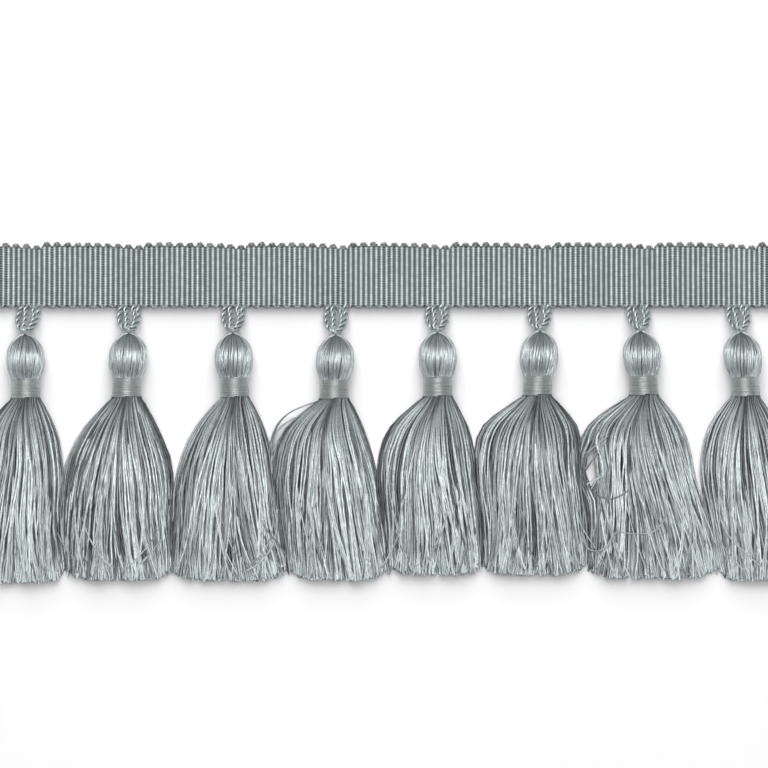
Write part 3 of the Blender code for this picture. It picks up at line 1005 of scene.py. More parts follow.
@dataclass
class Loops:
    """The two cords that a tassel hangs from, and the thread that ties them to its head.

    stack is how far the feet of the two cords lie one above the other, foot_gap how far they are from
    the head's top, and bulge how much wider the loops are half way down. tie_shifts are the places of the
    tie's two rings, and tie_ends which way its ends run down the head, in degrees from the crest, and
    how far. tie_proud is how far they stand proud of the head, at the shoulder and further down.
    """

    hang: Hang
    cord_finish: Material
    tie_finish: Material
    ply_radius: float = 0.37 * MM
    ply_reach: float = 0.41 * MM
    turn: float = 3.2 * MM
    bulge: float = 0.18
    stack: float = 1.5 * MM
    leg_height: float = 1.7 * MM
    leg_start: float = 0.8 * MM
    leg_drop: float = 0.3 * MM
    foot_gap: float = 1.2 * MM
    steps: int = 48
    tie_radius: float = 0.26 * MM
    tie_reach: float = 0.95 * MM
    tie_shifts: Pair = (-0.25 * MM, 0.25 * MM)
    tie_drop: float = 0.1 * MM
    tie_exit: float = 0.9 * MM
    tie_steps: int = 24
    tie_ends: tuple[Pair, ...] = ((62.0, 7.0 * MM), (-62.0, 4.0 * MM))
    tie_shoulder: Row = (0.5 * MM, 1.3 * MM, 2.4 * MM)
    tie_proud: Pair = (0.22 * MM, 0.16 * MM)

    def foot(self) -> Vector:
        """Where both cords turn back, just above the head."""
        return self.hang.top + Vector((0.0, self.foot_gap, 0.0))

    def cord_line(self, shape: LoopShape) -> list[Vector]:
        """The middle line of one cord, down its left leg, through its foot and up its right leg."""
        swing = self.hang.lay.swing * MM
        legs = Vector((self.hang.top.x + swing, -0.5 * TAPE_WIDTH - self.leg_drop, self.leg_height))
        foot = self.foot() + Vector((0.0, 0.0, shape.storey * self.stack))
        points = []
        for step in range(self.steps + 1):
            angle = 0.5 * math.pi * (2.0 * step / self.steps - 1.0)
            down = math.cos(angle)
            half_way = math.sin(math.pi * down)
            side = math.copysign(abs(math.sin(angle)) ** shape.roundness, angle)
            side *= 1.0 + self.bulge * half_way
            x = shape.half_width * side + shape.slant * half_way
            points.append(legs.lerp(foot, down) + Vector((x, 0.0, 0.0)))
        up = Vector((0.0, self.leg_start, 0.0))
        return [points[0] + up, *points, points[-1] + up]

    def build_cord(self, name: str, recipe: Recipe, shape: LoopShape) -> Piece:
        """One cord of two plies, on the middle line of that shape."""
        guides = Guides()
        guides.add(self.cord_line(shape), shade_shift=0.0)
        sizes = {
            "Plies": 2,
            "Ply radius": self.ply_radius,
            "Ply reach": self.ply_reach,
            "Turn": self.turn,
            "Step": self.turn / 12.0,
            "Core radius": 0.8 * self.ply_radius,
            "Sides": 8,
        }
        return recipe.grow(name, guides, self.cord_finish, sizes)

    def tie_ring(self, shift: float) -> list[Vector]:
        """One ring of the tie, round both feet: a half circle above them and one below."""
        points = []
        for step in range(self.tie_steps + 1):
            angle = 2.0 * math.pi * step / self.tie_steps
            end = 0.5 * self.stack * (1.0 if math.sin(angle) > 0.0 else -1.0)
            end *= min(1.0, 3.0 * abs(math.sin(angle)))
            along = self.tie_reach * math.cos(angle) - self.tie_drop
            height = end + self.tie_reach * math.sin(angle)
            points.append(self.foot() + Vector((shift * math.cos(angle), along, height)))
        return points

    def build_tie(self, name: str, recipe: Recipe, head: "Head") -> Piece:
        """The rings round both feet, and the two ends of their thread, which run down the head."""
        guides = Guides()
        for shift in self.tie_shifts:
            guides.add(self.tie_ring(shift), thickness=self.tie_radius, spread=0.0)
        on_shoulder, below = self.tie_proud
        last = self.tie_shoulder[-1]
        for degrees, length in self.tie_ends:
            turn = math.radians(degrees)
            line = [self.foot() + Vector((0.0, -self.tie_exit, 0.5 * self.stack))]
            line += [head.point(down, turn, on_shoulder) for down in self.tie_shoulder]
            line += [head.point(mix(last, length, step / 4.0), turn, below) for step in range(1, 5)]
            guides.add(line, thickness=self.tie_radius, spread=0.0)
        return recipe.grow(name, guides, self.tie_finish, strand_sizes(7, seed=5))


@dataclass
class Head:
    """The head: yarn that comes from under the tie, bulges, and goes in under the binding.

    Each thread strays from its even place by up to uneven, as a share of their spacing, is twisted by up
    to twist, in degrees, lies proud of the form by a length within proud, and has its curve slipped along
    the head by up to slip. Where threads are close, one is as thick as crowding times their spacing, plus
    overlap. Painted shade darkens its threads from the top, under the tie, down to a place within
    shadow_ends, and towards the binding along binding_shadow. These lengths are in millimetres.
    """

    hang: Hang
    finish: Material
    threads: int = 205
    thread_radius: float = 0.15 * MM
    crowding: float = 0.62
    overlap: float = 0.06 * MM
    swirl: float = 0.0
    uneven: float = 0.3
    twist: float = 6.0
    proud: Pair = (-0.09, 0.05)
    slip: float = 0.9
    # Painted shade near the top and near the binding.
    shadow_ends: Pair = (3.4, 6.2)
    shadow_depth: float = 1.9
    shadow_evenness: float = 0.4
    binding_shadow: Pair = (6.6, 9.6)
    binding_shadow_depth: float = 0.7
    stations: Row = (0.12, 0.5, 1.1, 2.0, 3.1, 4.3, 5.6, 6.9, 8.2, 9.4, 10.5, 11.4, 12.4)
    # How far each section lies below the top, and its half width and half height, in millimetres.
    sections: tuple[Row, ...] = (
        (0.0, 0.7, 0.7),
        (0.7, 2.0, 1.85),
        (1.7, 3.0, 2.75),
        (3.0, 4.05, 3.6),
        (4.4, 4.68, 4.25),
        (5.6, 4.88, 4.48),
        (6.8, 4.94, 4.46),
        (8.3, 4.76, 4.18),
        (9.8, 4.36, 3.8),
        (11.1, 3.8, 3.5),
        (12.6, 3.3, 3.3),
    )

    def half_sizes(self, down: float) -> Pair:
        """The head's half width and half height, that far below its top."""
        at = [row[0] * MM for row in self.sections]
        sizes = ([row[column] * MM for row in self.sections] for column in (1, 2))
        wide, high = (curve_through(at, size, down) for size in sizes)
        return wide, high

    def point(self, down: float, turn: float, proud: float, slip: float = 0.0) -> Vector:
        """A point of the head's surface.

        Args:
            down: How far below the top it lies.
            turn: How far it is turned to the right of the crest, in radians.
            proud: How far it stands proud of the surface.
            slip: How far along the head the thread's own curve is shifted.

        Returns:
            The point.
        """
        wide, high = self.half_sizes(down + slip)
        centre = self.hang.axis(down)
        return centre + Vector(((wide + proud) * math.sin(turn), 0.0, (high + proud) * math.cos(turn)))

    def build(self, name: str, recipe: Recipe, chance: random.Random) -> Piece:
        """All the threads of the head."""
        guides = Guides()
        for number in range(self.threads):
            even = number + chance.uniform(-self.uneven, self.uneven)
            turn = 2.0 * math.pi * even / self.threads
            twist = self.swirl + math.radians(chance.uniform(-self.twist, self.twist))
            inside = chance.uniform(*self.proud) * MM - 0.5 * self.thread_radius
            slip = chance.uniform(-self.slip, self.slip) * MM
            shadow_end = chance.uniform(*self.shadow_ends)
            points, thickness, shift, evenness = [], [], [], []
            for down in self.stations:
                share = down / self.stations[-1]
                own_slip = slip * math.sin(math.pi * share)
                points.append(self.point(down * MM, turn + twist * share, inside, own_slip))
                wide, high = self.half_sizes(down * MM)
                spacing = math.pi * (wide + high) / self.threads
                thickness.append(min(self.thread_radius, self.crowding * spacing + self.overlap))
                # Painted shade: darker from the top, under the tie, and darker again near the binding.
                shadow = 1.0 - eased(down / shadow_end)
                near_binding = rising(down, *self.binding_shadow)
                shift.append(-self.shadow_depth * shadow - self.binding_shadow_depth * near_binding)
                evenness.append(self.shadow_evenness * shadow)
            guides.add(points, thickness=thickness, spread=0.0, shade_shift=shift, evenness=evenness)
        loose = {"Wander": 0.5 * MM, "Lift": 0.14 * MM, "Wander_length": 5.0 * MM, "Crinkle": 0.35}
        sizes = strand_sizes(4, seed=chance.randrange(10000), Uneven_thickness=0.15, **loose)
        return recipe.grow(name, guides, self.finish, sizes)


@dataclass
class Binding:
    """The thread wound round the neck, over the ends of the yarn.

    The neck is thicker half way by crown. Each turn is uneven by its own share of slip along the neck
    and of swell outward.
    """

    hang: Hang
    finish: Material
    top_radius: float = 3.42 * MM
    end_radius: float = 3.62 * MM
    thread_radius: float = 0.27 * MM
    turns: int = 15
    steps_per_turn: int = 24
    inset: float = 0.3 * MM
    crown: float = 0.05 * MM
    slip: float = 0.12 * MM
    swell: float = 0.02 * MM

    def build(self, name: str, recipe: Recipe, chance: random.Random) -> Piece:
        """The winding, one long thread from the head down to the skirt."""
        guides = Guides()
        line = []
        length = BINDING_LENGTH - 2.0 * self.inset
        steps = self.turns * self.steps_per_turn
        own = [chance.uniform(-0.5, 0.5) for _ in range(self.turns + 2)]
        for step in range(steps + 1):
            turns = step / self.steps_per_turn
            before = int(turns)
            uneven = mix(own[before], own[before + 1], turns - before)
            share = step / steps
            down = HEAD_LENGTH + self.inset + length * share + uneven * self.slip
            reach = mix(self.top_radius, self.end_radius, share)
            reach += self.crown * math.sin(math.pi * share) + uneven * self.swell
            angle = 2.0 * math.pi * turns
            outward = Vector((reach * math.sin(angle), 0.0, reach * math.cos(angle)))
            line.append(self.hang.axis(down) + outward)
        guides.add(line, thickness=self.thread_radius, spread=0.0)
        return recipe.grow(name, guides, self.finish, strand_sizes(6, seed=1))


@dataclass(frozen=True)
class Layer:
    """One layer of a skirt's locks.

    pitch is the distance between their middle lines, strands how many each one has, and radius a
    strand's. levels is the part of the skirt's height that they fill. drift is how far one moves inward
    and outward on its way down, and swing how far it waves, as shares of the skirt's half width.
    looseness is how freely its strands wave sideways, lift how far they rise and sink, and lock_radius
    how far they lie from their lock's middle line, at most.
    lightest caps the painted shade that a lock has by its level, which keeps the inner layer darker than
    the uppermost one, evenness brings its strands to one shade, and stations are the places of its points
    below the binding, in millimetres.
    """

    pitch: float
    strands: int
    radius: float
    sides: int
    levels: Pair
    drift: Pair
    swing: float
    looseness: float
    lift: float
    lock_radius: float
    lightest: float
    evenness: float
    stations: Row


INNER = Layer(
    pitch=0.32 * MM,
    strands=5,
    radius=0.3 * MM,
    sides=4,
    levels=(0.0, 0.93),
    drift=(-0.35, 0.35),
    swing=0.05,
    looseness=1.0,
    lift=2.2 * MM,
    lock_radius=1.0 * MM,
    # Painted shade: the inner locks, seen only between the uppermost ones, stay dark.
    lightest=-0.23,
    evenness=0.0,
    stations=(-0.9, 0.4, 1.7, 3.3, 5.3, 7.9, 11.3, 15.4, 20.2, 25.4, 30.8, 36.0, 41.0, 45.4, 48.8),
)
UPPERMOST = Layer(
    pitch=0.72 * MM,
    strands=1,
    radius=0.33 * MM,
    sides=5,
    levels=(0.93, 1.1),
    drift=(-0.2, 0.5),
    swing=0.06,
    looseness=0.7,
    lift=1.7 * MM,
    lock_radius=0.5 * MM,
    lightest=0.28,
    evenness=0.15,
    stations=(
        -0.9, 0.2, 1.3, 2.5, 3.8, 5.2, 6.8, 8.6, 10.5, 12.5, 14.6, 16.8, 19.0, 21.2, 23.4, 25.6, 27.8, 30.0,
        32.2, 34.4, 36.6, 38.8, 41.0, 43.0, 45.0, 47.0, 48.8,
    ),
)


@dataclass
class Skirt:
    """The skirt: locks of cut strands that leave the neck as a round bundle and spread over the surface.

    neck_level is the level that the upper locks start from at the middle of the neck. fan is how much the
    inner locks keep together below the neck, as a share of their way to the edge, and near_neck the least
    and the most that chance stretches their places there by. With crowding under 1, more of them start
    at the sides of the neck. gathering is how far below the binding, in millimetres, a lock in the middle
    lies flat, and one at the sides takes up to twice as far. The locks are cut within cuts, in
    millimetres above the longest. shade_slope and shade_zero give a lock's painted shade by its level,
    darker the deeper it lies, and shade_chance is the most that chance adds. The dark fields are painted
    shade: how much darker a lock is at the skirt's left side, past shadow_from, where it is pinched, and
    where it is tucked in under the binding. The hem's light field is painted light: how much lighter a
    lock is where its cut end is splayed. thinnest and tightest are the shares of their full size that
    strands and locks have at the binding.
    """

    hang: Hang
    finish: Material
    strand_radius: float = 0.3 * MM
    neck_radius: float = 3.15 * MM
    neck_level: float = 0.85
    near_neck: Pair = (0.65, 1.15)
    fan: float = 0.7
    crowding: float = 0.78
    gathering: Pair = (8.0, 15.0)
    cuts: Pair = (0.2, 0.8)
    shade_slope: float = 1.1
    shade_zero: float = 0.62
    shade_chance: float = 0.2
    # Painted shade at the skirt's left side, below the binding and under it, and painted light at the
    # splayed hem.
    painted_left_shade: float = 0.85
    painted_neck_shade: float = 0.6
    painted_tuck_shade: float = 0.3
    painted_hem_light: float = 0.4
    # How far above the binding's end the bundle starts to open sideways, and over what length it does.
    opens_above: float = 0.6 * MM
    opens_over: float = 1.6 * MM
    # The highest level at the neck, how far an opening pushes its neighbours, in half widths of its own,
    # and the place of the last lock that it pushes to the left.
    neck_top: float = 0.97
    opening_reach: float = 2.5
    outermost: float = -1.08
    # The turn of a lock's wave on its way down, in radians, how much less the locks at the sides are
    # pinched, and how far a pinch evens the levels of the upper locks, from upper_from, and the shades.
    wave_turn: float = 5.0
    side_relief: float = 0.75
    pinch_evens: float = 0.8
    upper_from: float = 0.4
    pinched_evenness: float = 0.9
    # Where a lock's changes begin, or begin and end, in millimetres below the binding.
    pinch_start: float = 3.0
    tuck: Pair = (0.0, 5.0)
    thickening: Pair = (-1.0, 5.0)
    loosening: Pair = (-1.0, 13.0)
    left_shadow: Pair = (10.0, 28.0)
    splay: Pair = (40.0, 47.0)
    thinnest: float = 0.5
    tightest: float = 0.47
    shadow_from: float = -0.4
    wisps: int = 24
    strands_in_wisp: int = 3
    # Where wisps begin below the binding and end above the hem, in millimetres, how far from the middle
    # they begin and how far they slide across, as shares of the skirt's half width, and how high over its
    # face they begin and end, in millimetres.
    wisp_starts: Pair = (10.0, 28.0)
    wisp_ends: Pair = (0.3, 0.5)
    wisp_reach: float = 0.85
    wisp_slides: Pair = (0.1, 0.32)
    wisp_heights: Pair = (-1.2, 0.25)
    # How high strays lie over the skirt's face, the height that it counts as at least, and how far below
    # their own height they start.
    stray_lift: float = 0.6 * MM
    stray_least: float = 1.4 * MM
    stray_sunk: float = 1.2 * MM
    # How high its top lies, at places below the binding, in millimetres.
    tops: tuple[Pair, ...] = (
        (0.0, 6.6), (4.0, 5.4), (8.4, 4.7), (13.0, 4.4), (19.4, 4.2), (34.8, 3.6), (48.8, 2.3),
    )
    hem_rise: float = 3.0 * MM

    def edges(self, below: float) -> Pair:
        """The x of the skirt's left and right edge, that far below the binding."""
        lay = self.hang.lay
        neck = self.hang.axis(HEAD_LENGTH + 0.5 * BINDING_LENGTH).x
        at = [station * MM for station in SPREAD_AT]
        left = curve_through(at, [number * MM for number in (-NECK_EDGE, *lay.left)], below)
        right = curve_through(at, [number * MM for number in (NECK_EDGE, *lay.right)], below)
        return neck + left, neck + right

    def x_at(self, below: float, across: float) -> float:
        """The x of a place from -1 at the left edge to 1 at the right edge, that far below the binding."""
        left, right = self.edges(below)
        return 0.5 * (left + right) + 0.5 * (right - left) * across

    def height(self, below: float, across: float) -> float:
        """How high the middle line of a strand on top of the skirt lies, once the skirt is flat."""
        at, heights = ([row[column] * MM for row in self.tops] for column in (0, 1))
        top = curve_through(at, heights, below)
        section = math.sqrt(1.0 - min(1.0, abs(across)) ** 3)
        return self.strand_radius + (top - 2.0 * self.strand_radius) * section

    def point(self, below: float, across: float, level: float, settling: float) -> Vector:
        """A point inside the skirt.

        Args:
            below: How far below the binding's end it lies.
            across: From -1 at the left edge to 1 at the right edge.
            level: From 0 on the surface to 1 at the skirt's top.
            settling: How far below the binding the round bundle has become a flat skirt.

        Returns:
            The point.
        """
        axis = self.hang.under(below)
        turn = 0.5 * math.pi * across
        neck_x = axis.x + self.neck_radius * math.sin(turn)
        neck_z = axis.z + self.neck_radius * math.cos(turn) * (2.0 * min(self.neck_top, level) - 1.0)
        z = mix(self.strand_radius, self.height(below, across), level)
        sideways = eased((below + self.opens_above) / self.opens_over)
        still_round = 1.0 - min(1.0, max(0.0, below / settling))
        x = mix(neck_x, self.x_at(below, across), sideways)
        return Vector((x, axis.y, mix(z, neck_z, still_round * still_round)))

    def parted(self, place: float, station: float) -> float:
        """Where a lock goes at a station, once it gives way to the opening in its skirt, if there is one."""
        if not self.hang.lay.opening:
            return place
        middle, half_width, top, end = self.hang.lay.opening
        share = min(1.0, max(0.0, (station - top) / (end - top)))
        open_by, reach = half_width * math.sin(math.pi * share), self.opening_reach * half_width
        away = place - middle
        if abs(away) >= reach:
            return place
        return max(self.outermost, middle + math.copysign(mix(open_by, reach, abs(away) / reach), away))

    def hem(self, share: float, across: float, cut: float) -> float:
        """How far the hem's round corners and its cut lift a point that lies that share of the way down."""
        return share**4 * (self.hem_rise * abs(across) ** 5 + cut + self.hang.lay.trimmed * MM)

    def add_lock(
        self, guides: Guides, layer: Layer, across: float, level: float, chance: random.Random
    ) -> None:
        """Adds the middle line of one lock.

        Args:
            guides: The lines to add it to.
            layer: The layer that it is in.
            across: Where it lies, from -1 at the skirt's left edge to 1 at its right edge.
            level: How high it lies, from 0 on the surface to 1 at the skirt's top.
            chance: The source of its chances.
        """
        inner = 1.0 - across * across
        at_neck = mix(chance.uniform(*self.near_neck), 1.0, min(1.0, 1.3 * across * across))
        drift = chance.uniform(*layer.drift) * math.copysign(1.0 - abs(across), across)
        swing = chance.uniform(-layer.swing, layer.swing)
        phase = chance.uniform(0.0, 2.0 * math.pi)
        cut = chance.uniform(*self.cuts) * MM
        gathering = chance.uniform(*self.gathering)
        settling = gathering * (1.0 + abs(across)) * MM
        # Painted shade by level: the deeper a lock lies, the darker it is; chance adds a tone of its own.
        shade = min(layer.lightest, self.shade_slope * (level - self.shade_zero))
        shade += chance.uniform(-self.shade_chance, self.shade_chance)
        points, thickness, spread, shift, evenness = [], [], [], [], []
        for station in layer.stations:
            share = max(0.0, station) / layer.stations[-1]
            place = across * (1.0 - self.fan * inner * (1.0 - share)) * mix(at_neck, 1.0, share)
            waved = swing * math.sin(phase + self.wave_turn * share)
            waved += self.hang.lay.sweep * inner * (share - 0.5)
            place += drift * share + waved * eased(2.0 * share)
            place = self.parted(max(-1.0, min(1.0, place)), station)
            gathered = 1.0 - eased((station - self.pinch_start) / gathering)
            pinched = gathered * (1.0 - self.side_relief * abs(across))
            tucked = 1.0 - rising(station, *self.tuck)
            behind = max(0.0, self.shadow_from - place) * rising(station, *self.left_shadow)
            splayed = rising(station, *self.splay)
            evened = level
            if level > self.upper_from:
                evened = mix(level, self.neck_level, self.pinch_evens * pinched)
            lifted = Vector((0.0, self.hem(share, place, cut), 0.0))
            points.append(self.point(station * MM, place, evened, settling) + lifted)
            thickness.append(layer.radius * mix(self.thinnest, 1.0, rising(station, *self.thickening)))
            spread.append(layer.lock_radius * mix(self.tightest, 1.0, rising(station, *self.loosening)))
            # Painted shade at the left side, where pinched and where tucked in, and painted light at the
            # splayed hem.
            darker = self.painted_left_shade * behind + self.painted_neck_shade * pinched + self.painted_tuck_shade * tucked
            shift.append(shade * (1.0 - self.pinch_evens * pinched) - darker + self.painted_hem_light * splayed)
            evenness.append(mix(layer.evenness, self.pinched_evenness, max(pinched, tucked)))
        guides.add(points, thickness=thickness, spread=spread, shade_shift=shift, evenness=evenness)

    def build(self, name: str, recipe: Recipe, layer: Layer, chance: random.Random) -> Piece:
        """All the locks of one of the skirt's layers."""
        guides = Guides()
        left, right = self.edges(0.6 * SKIRT_LENGTH)
        locks = round((right - left) / layer.pitch)
        for number in range(locks):
            even = -1.0 + 2.0 * (number + 0.5 + chance.uniform(-0.25, 0.25)) / locks
            across = math.copysign(abs(even) ** self.crowding, even)
            own_level = (number * 0.618034 + chance.uniform(-0.05, 0.05)) % 1.0
            self.add_lock(guides, layer, across, mix(*layer.levels, own_level), chance)
        sizes = self.sizes(layer.strands, layer.sides, layer.looseness, layer.lift, chance)
        return recipe.grow(name, guides, self.finish, sizes)

    def wisp_line(self, chance: random.Random) -> list[Vector]:
        """The middle line of one wisp, which comes up out of the skirt and slides sideways over its face."""
        start = chance.uniform(*self.wisp_starts) * MM
        across = chance.uniform(-self.wisp_reach, self.wisp_reach)
        slide = chance.choice((-1.0, 1.0)) * chance.uniform(*self.wisp_slides)
        points = []
        for step in range(9):
            share = step / 8.0
            below = mix(start, SKIRT_LENGTH - chance.uniform(*self.wisp_ends) * MM, share)
            place = max(-0.97, min(0.97, across + slide * share**2.2))
            over = mix(*self.wisp_heights, eased(2.5 * share)) * MM
            y = self.hang.under(below).y + self.hem(share, place, 0.0)
            points.append(Vector((self.x_at(below, place), y, self.height(below, place) + over)))
        return points

    def build_wisps(
        self, name: str, recipe: Recipe, strays: Sequence[Stray], stray_shade: float, chance: random.Random
    ) -> Piece:
        """The thin wisps that cross the skirt's face, and its strays."""
        guides = Guides()
        for _ in range(self.wisps):
            wisp = {"thickness": 0.9 * self.strand_radius, "spread": 0.4 * MM}
            guides.add(self.wisp_line(chance), shade_shift=0.0, evenness=0.0, **wisp)
        for stray in strays:
            thin = {"thickness": 0.6 * self.strand_radius, "spread": 0.3 * MM}
            guides.add(self.stray_line(stray), shade_shift=stray_shade, evenness=0.3, **thin)
        sizes = self.sizes(self.strands_in_wisp, 4, 0.35, 0.8 * MM, chance)
        return recipe.grow(name, guides, self.finish, sizes)

    def stray_line(self, stray: Stray) -> list[Vector]:
        """The middle line of one stray, on the skirt's face or just over the surface beside it."""
        neck_y = self.hang.under(0.0).y
        steps = 4 * (len(stray) - 1)
        at = list(range(len(stray)))
        points = []
        for step in range(steps + 1):
            x, y = (curve_through(at, [place[i] * MM for place in stray], step / 4.0) for i in (0, 1))
            left, right = self.edges(neck_y - y)
            across = (x - 0.5 * (left + right)) / (0.5 * (right - left))
            sunk = self.stray_sunk * (1.0 - eased(step / 4.0))
            height = max(self.stray_least, self.height(neck_y - y, across))
            points.append(Vector((x, y, height + self.stray_lift - sunk)))
        return points

    def sizes(
        self, strands: int, sides: int, looseness: float, lift: float, chance: random.Random
    ) -> dict[str, object]:
        """The recipe's sizes for locks of that many strands, with that share of the skirt's looseness."""
        return strand_sizes(
            sides,
            strands,
            chance.randrange(10000),
            Crossing=mix(1.0, 3.5, looseness),
            Wander=looseness * 2.2 * MM,
            Lift=lift,
            Crinkle=0.72,
            Uneven_ends=0.9 * MM,
            Uneven_thickness=0.35,
            Flatness=0.6,
            Darkest_shade=-0.12,
        )


@dataclass
class Core:
    """The hidden inside of a tassel, which the threads of its head and neck lie on, coloured near black as
    painted shade where it shows between them.
    """

    head: Head
    finish: Material
    sides: int = 24
    depth: float = 0.32 * MM
    neck_radius: float = 3.2 * MM
    # The places of its rings inside the head, in millimetres below the head's top.
    in_head: Row = (0.5, 1.2, 2.2, 3.6, 5.2, 7.0, 8.8, 10.2, 11.2)
    neck_start: float = 11.8 * MM
    # Its last rings: how far past the binding's end they lie, and their radius.
    ends: tuple[Pair, ...] = ((-1.6 * MM, 3.2 * MM), (-0.8 * MM, 2.3 * MM), (1.4 * MM, 1.5 * MM))

    def build(self, name: str) -> Piece:
        """One closed form from the head's top to just below the binding."""
        rings = []
        for down in self.in_head:
            wide, high = self.head.half_sizes(down * MM)
            rings.append((down * MM, wide - self.depth, high - self.depth))
        rings.append((self.neck_start, self.neck_radius, self.neck_radius))
        for below, radius in self.ends:
            rings.append((HEAD_LENGTH + BINDING_LENGTH + below, radius, radius))
        points, faces = [], []
        for down, wide, high in rings:
            centre = self.head.hang.axis(down)
            for side in range(self.sides):
                angle = 2.0 * math.pi * side / self.sides
                height = max(0.1 * MM, centre.z + high * math.cos(angle))
                points.append((centre.x + wide * math.sin(angle), centre.y, height))
        last = (len(rings) - 1) * self.sides
        for first in range(0, last, self.sides):
            for side in range(self.sides):
                here, after = first + side, first + (side + 1) % self.sides
                faces.append((here, after, after + self.sides, here + self.sides))
        faces.append(tuple(range(self.sides))[::-1])
        faces.append(tuple(range(last, last + self.sides)))
        mesh = bpy.data.meshes.new(name)
        mesh.from_pydata(points, [], faces)
        mesh.materials.append(self.finish)
        mesh.shade_smooth()
        return in_scene(name, mesh)


# ----------------------------------------------------------------------------------------------------
# The studio


@dataclass(frozen=True)
class Lamp:
    """A square soft light, tilted from straight above towards the tape's side, aimed at the trim.

    floor_only lamps light the floor alone, for the soft shadows beside the trim.
    """

    name: str
    tilt: float
    distance: float
    size: float
    power: float
    floor_only: bool


@dataclass
class Studio:
    """The pale floor, the soft light from above, and the camera that looks straight down."""

    frame_width: float = 203.2 * MM
    centre_y: float = -28.84 * MM
    lens: float = 200.0
    sensor: float = 36.0
    # How bright the room is overhead and at its walls, and the sine of the angle at which the walls end.
    sky: float = 0.05
    walls: float = 1.25
    wall_top: float = 0.46
    floor_half: float = 2.5
    lamps: tuple[Lamp, ...] = (
        Lamp("key", tilt=math.radians(5.0), distance=0.9, size=0.72, power=8.6, floor_only=False),
        Lamp("low", tilt=math.radians(56.0), distance=1.6, size=1.5, power=64.0, floor_only=True),
    )

    def build_camera(self) -> None:
        """The camera, at the photograph's angle and framing."""
        data = bpy.data.cameras.new("camera")
        data.lens, data.sensor_width = self.lens, self.sensor
        distance = self.frame_width * self.lens / self.sensor
        data.clip_start, data.clip_end = 0.05, 20.0
        camera = in_scene("camera", data)
        camera.location = (0.0, self.centre_y, distance)
        bpy.context.scene.camera = camera

    def build_light(self, floor: Piece) -> None:
        """The soft lamps, and a room that is bright at its walls and dark overhead."""
        for lamp in self.lamps:
            data = bpy.data.lights.new(lamp.name, "AREA")
            data.shape, data.size, data.energy = "SQUARE", lamp.size, lamp.power
            light = in_scene(lamp.name, data)
            away = Vector((0.0, math.sin(lamp.tilt), math.cos(lamp.tilt)))
            light.location = Vector((0.0, self.centre_y, 0.0)) + away * lamp.distance
            light.rotation_mode = "QUATERNION"
            light.rotation_quaternion = away.to_track_quat("Z", "Y")
            if lamp.floor_only:
                lit = bpy.data.collections.new(f"{lamp.name}_floor")
                lit.objects.link(floor)
                light.light_linking.receiver_collection = lit
        world = bpy.data.worlds.new("room")
        world.use_nodes = True
        steps = NodeSteps(world.node_tree)
        _, _, up = steps.split(steps.step("ShaderNodeTexCoord").outputs["Generated"])
        heights = {"Value": up, "From Min": 0.0, "From Max": self.wall_top}
        walls = {**heights, "To Min": self.walls, "To Max": self.sky}
        strength = steps.step("ShaderNodeMapRange", walls, interpolation_type="SMOOTHSTEP").outputs[0]
        background = world.node_tree.nodes["Background"]
        background.inputs["Color"].default_value = (1.0, 1.0, 1.0, 1.0)
        world.node_tree.links.new(strength, background.inputs["Strength"])
        bpy.context.scene.world = world

    def build_floor(self) -> Piece:
        """The floor that the trim lies on."""
        half = self.floor_half
        mesh = bpy.data.meshes.new("floor")
        corners = [(-half, -half, 0.0), (half, -half, 0.0), (half, half, 0.0), (-half, half, 0.0)]
        mesh.from_pydata(corners, [], [(0, 1, 2, 3)])
        mesh.materials.append(FloorFinish("pale_floor", (0.5, 0.5, 0.505), 0.9, 0.0).material())
        floor = in_scene("floor", mesh)
        return floor

    def build(self) -> None:
        """The whole studio, whose colours are shown as they are."""
        bpy.context.scene.view_settings.view_transform = "Standard"
        self.build_camera()
        self.build_light(self.build_floor())


# ----------------------------------------------------------------------------------------------------
# The trim


class Slot(Enum):
    """The names of the material slots."""

    TAPE = "ribbed_heading"
    CORD = "twisted_cord"
    YARN = "silky_yarn"
    THREAD = "binding_thread"


def settle(piece: Piece, slot: Slot, *nodes: str) -> None:
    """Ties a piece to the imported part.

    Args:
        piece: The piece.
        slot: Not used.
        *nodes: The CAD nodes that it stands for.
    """
    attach(piece, BODY)
    if nodes:
        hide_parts(*nodes)
    LOG.info("%s: %d faces", piece.name, len(piece.data.polygons))


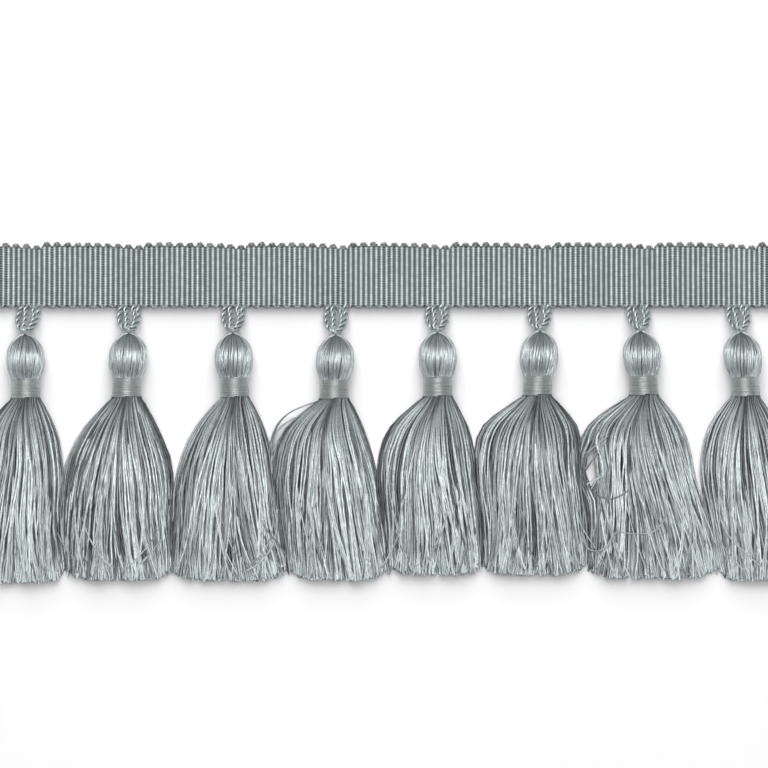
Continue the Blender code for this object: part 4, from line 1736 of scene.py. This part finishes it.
@dataclass
class Trim:
    """The whole fringe. swirls are the least and the most that a head's threads turn, in degrees."""

    seed: int = 11
    swirls: Pair = (-16.0, 4.0)

    def __post_init__(self) -> None:
        """Makes the finishes and the recipes that the pieces share."""
        self.yarn = YarnFinish(
            "silky_yarn_strands", (0.65, 0.715, 0.725), 0.4, 0.24, 0.28, 1.15, glint_depth=0.6
        ).material()
        self.head_yarn = YarnFinish(
            "silky_head_strands", (0.6, 0.655, 0.665), 0.3, 0.68, 0.84, 1.14, glint_depth=0.4
        ).material()
        self.cord = YarnFinish("twisted_cord_plies", (0.46, 0.52, 0.515), 0.32, 0.55).material()
        patches = {"patch_length": 14.0 * MM, "patch_depth": 0.3, "glint_depth": 0.1}
        self.thread = YarnFinish("neck_winding", (0.405, 0.438, 0.43), 0.5, 0.85, **patches).material()
        self.tie = YarnFinish("tie_thread", (0.5, 0.55, 0.54), 0.4, 0.35).material()
        # Painted shade: the bundle's inside is near black, so it looks dark where it shows between the
        # threads.
        self.dark = YarnFinish("yarn_inside_painted_shade", (0.12, 0.13, 0.14), 0.6, 0.0).material()
        self.weave = WovenFinish("rep_weave", (0.462, 0.534, 0.526), 0.4, 0.3, RIB_PITCH).material()
        self.strands = strands_recipe()
        self.twisted = twisted_cord_recipe()

    def build_tape(self) -> None:
        """The tape and its edges."""
        tape = Tape(self.weave, self.cord)
        weave = tape.build_weave()
        settle(weave, Slot.TAPE, "heading")
        turns = [tape.build_turns(side, self.twisted) for side in Side]
        for piece in turns:
            settle(piece, Slot.TAPE, "heading")

    def build_tassel(self, number: int, lay: Lay) -> None:
        """One tassel with its loops."""
        chance = random.Random(self.seed * 100 + number)
        hang = Hang(lay)
        head = Head(hang, self.head_yarn, swirl=math.radians(chance.uniform(*self.swirls)))
        loops = Loops(hang, self.cord, self.tie)
        for name, shape in (("outer", OUTER_LOOP), ("inner", INNER_LOOP)):
            cord = loops.build_cord(f"{name}_cord_{number}", self.twisted, shape)
            settle(cord, Slot.CORD, f"{name}_loop_{number}")
        settle(loops.build_tie(f"tie_thread_{number}", self.strands, head), Slot.THREAD, f"tie_{number}")
        bundle = f"tassel_{number}"
        settle(head.build(f"head_{number}", self.strands, chance), Slot.YARN, bundle)
        winding = Binding(hang, self.thread).build(f"winding_{number}", self.strands, chance)
        settle(winding, Slot.THREAD, f"binding_{number}")
        skirt = Skirt(hang, self.yarn)
        for name, layer in (("skirt", INNER), ("skirt_face", UPPERMOST)):
            settle(skirt.build(f"{name}_{number}", self.strands, layer, chance), Slot.YARN, bundle)
        strays, stray_shade = STRAYS.get(number, ()), STRAY_SHADES.get(number, 0.0)
        wisps = skirt.build_wisps(f"wisps_{number}", self.strands, strays, stray_shade, chance)
        settle(wisps, Slot.YARN, bundle)
        settle(Core(head, self.dark).build(f"bundle_core_{number}"), Slot.YARN, bundle)

    def build(self) -> None:
        """The tape, then each tassel from left to right."""
        self.build_tape()
        for number, lay in enumerate(LAYS, start=1):
            self.build_tassel(number, lay)


def main() -> None:
    """Builds the studio and the trim."""
    logging.basicConfig(level=logging.INFO, format="%(name)s %(message)s")
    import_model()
    Studio().build()
    Trim().build()


if __name__ == "__main__":
    main()
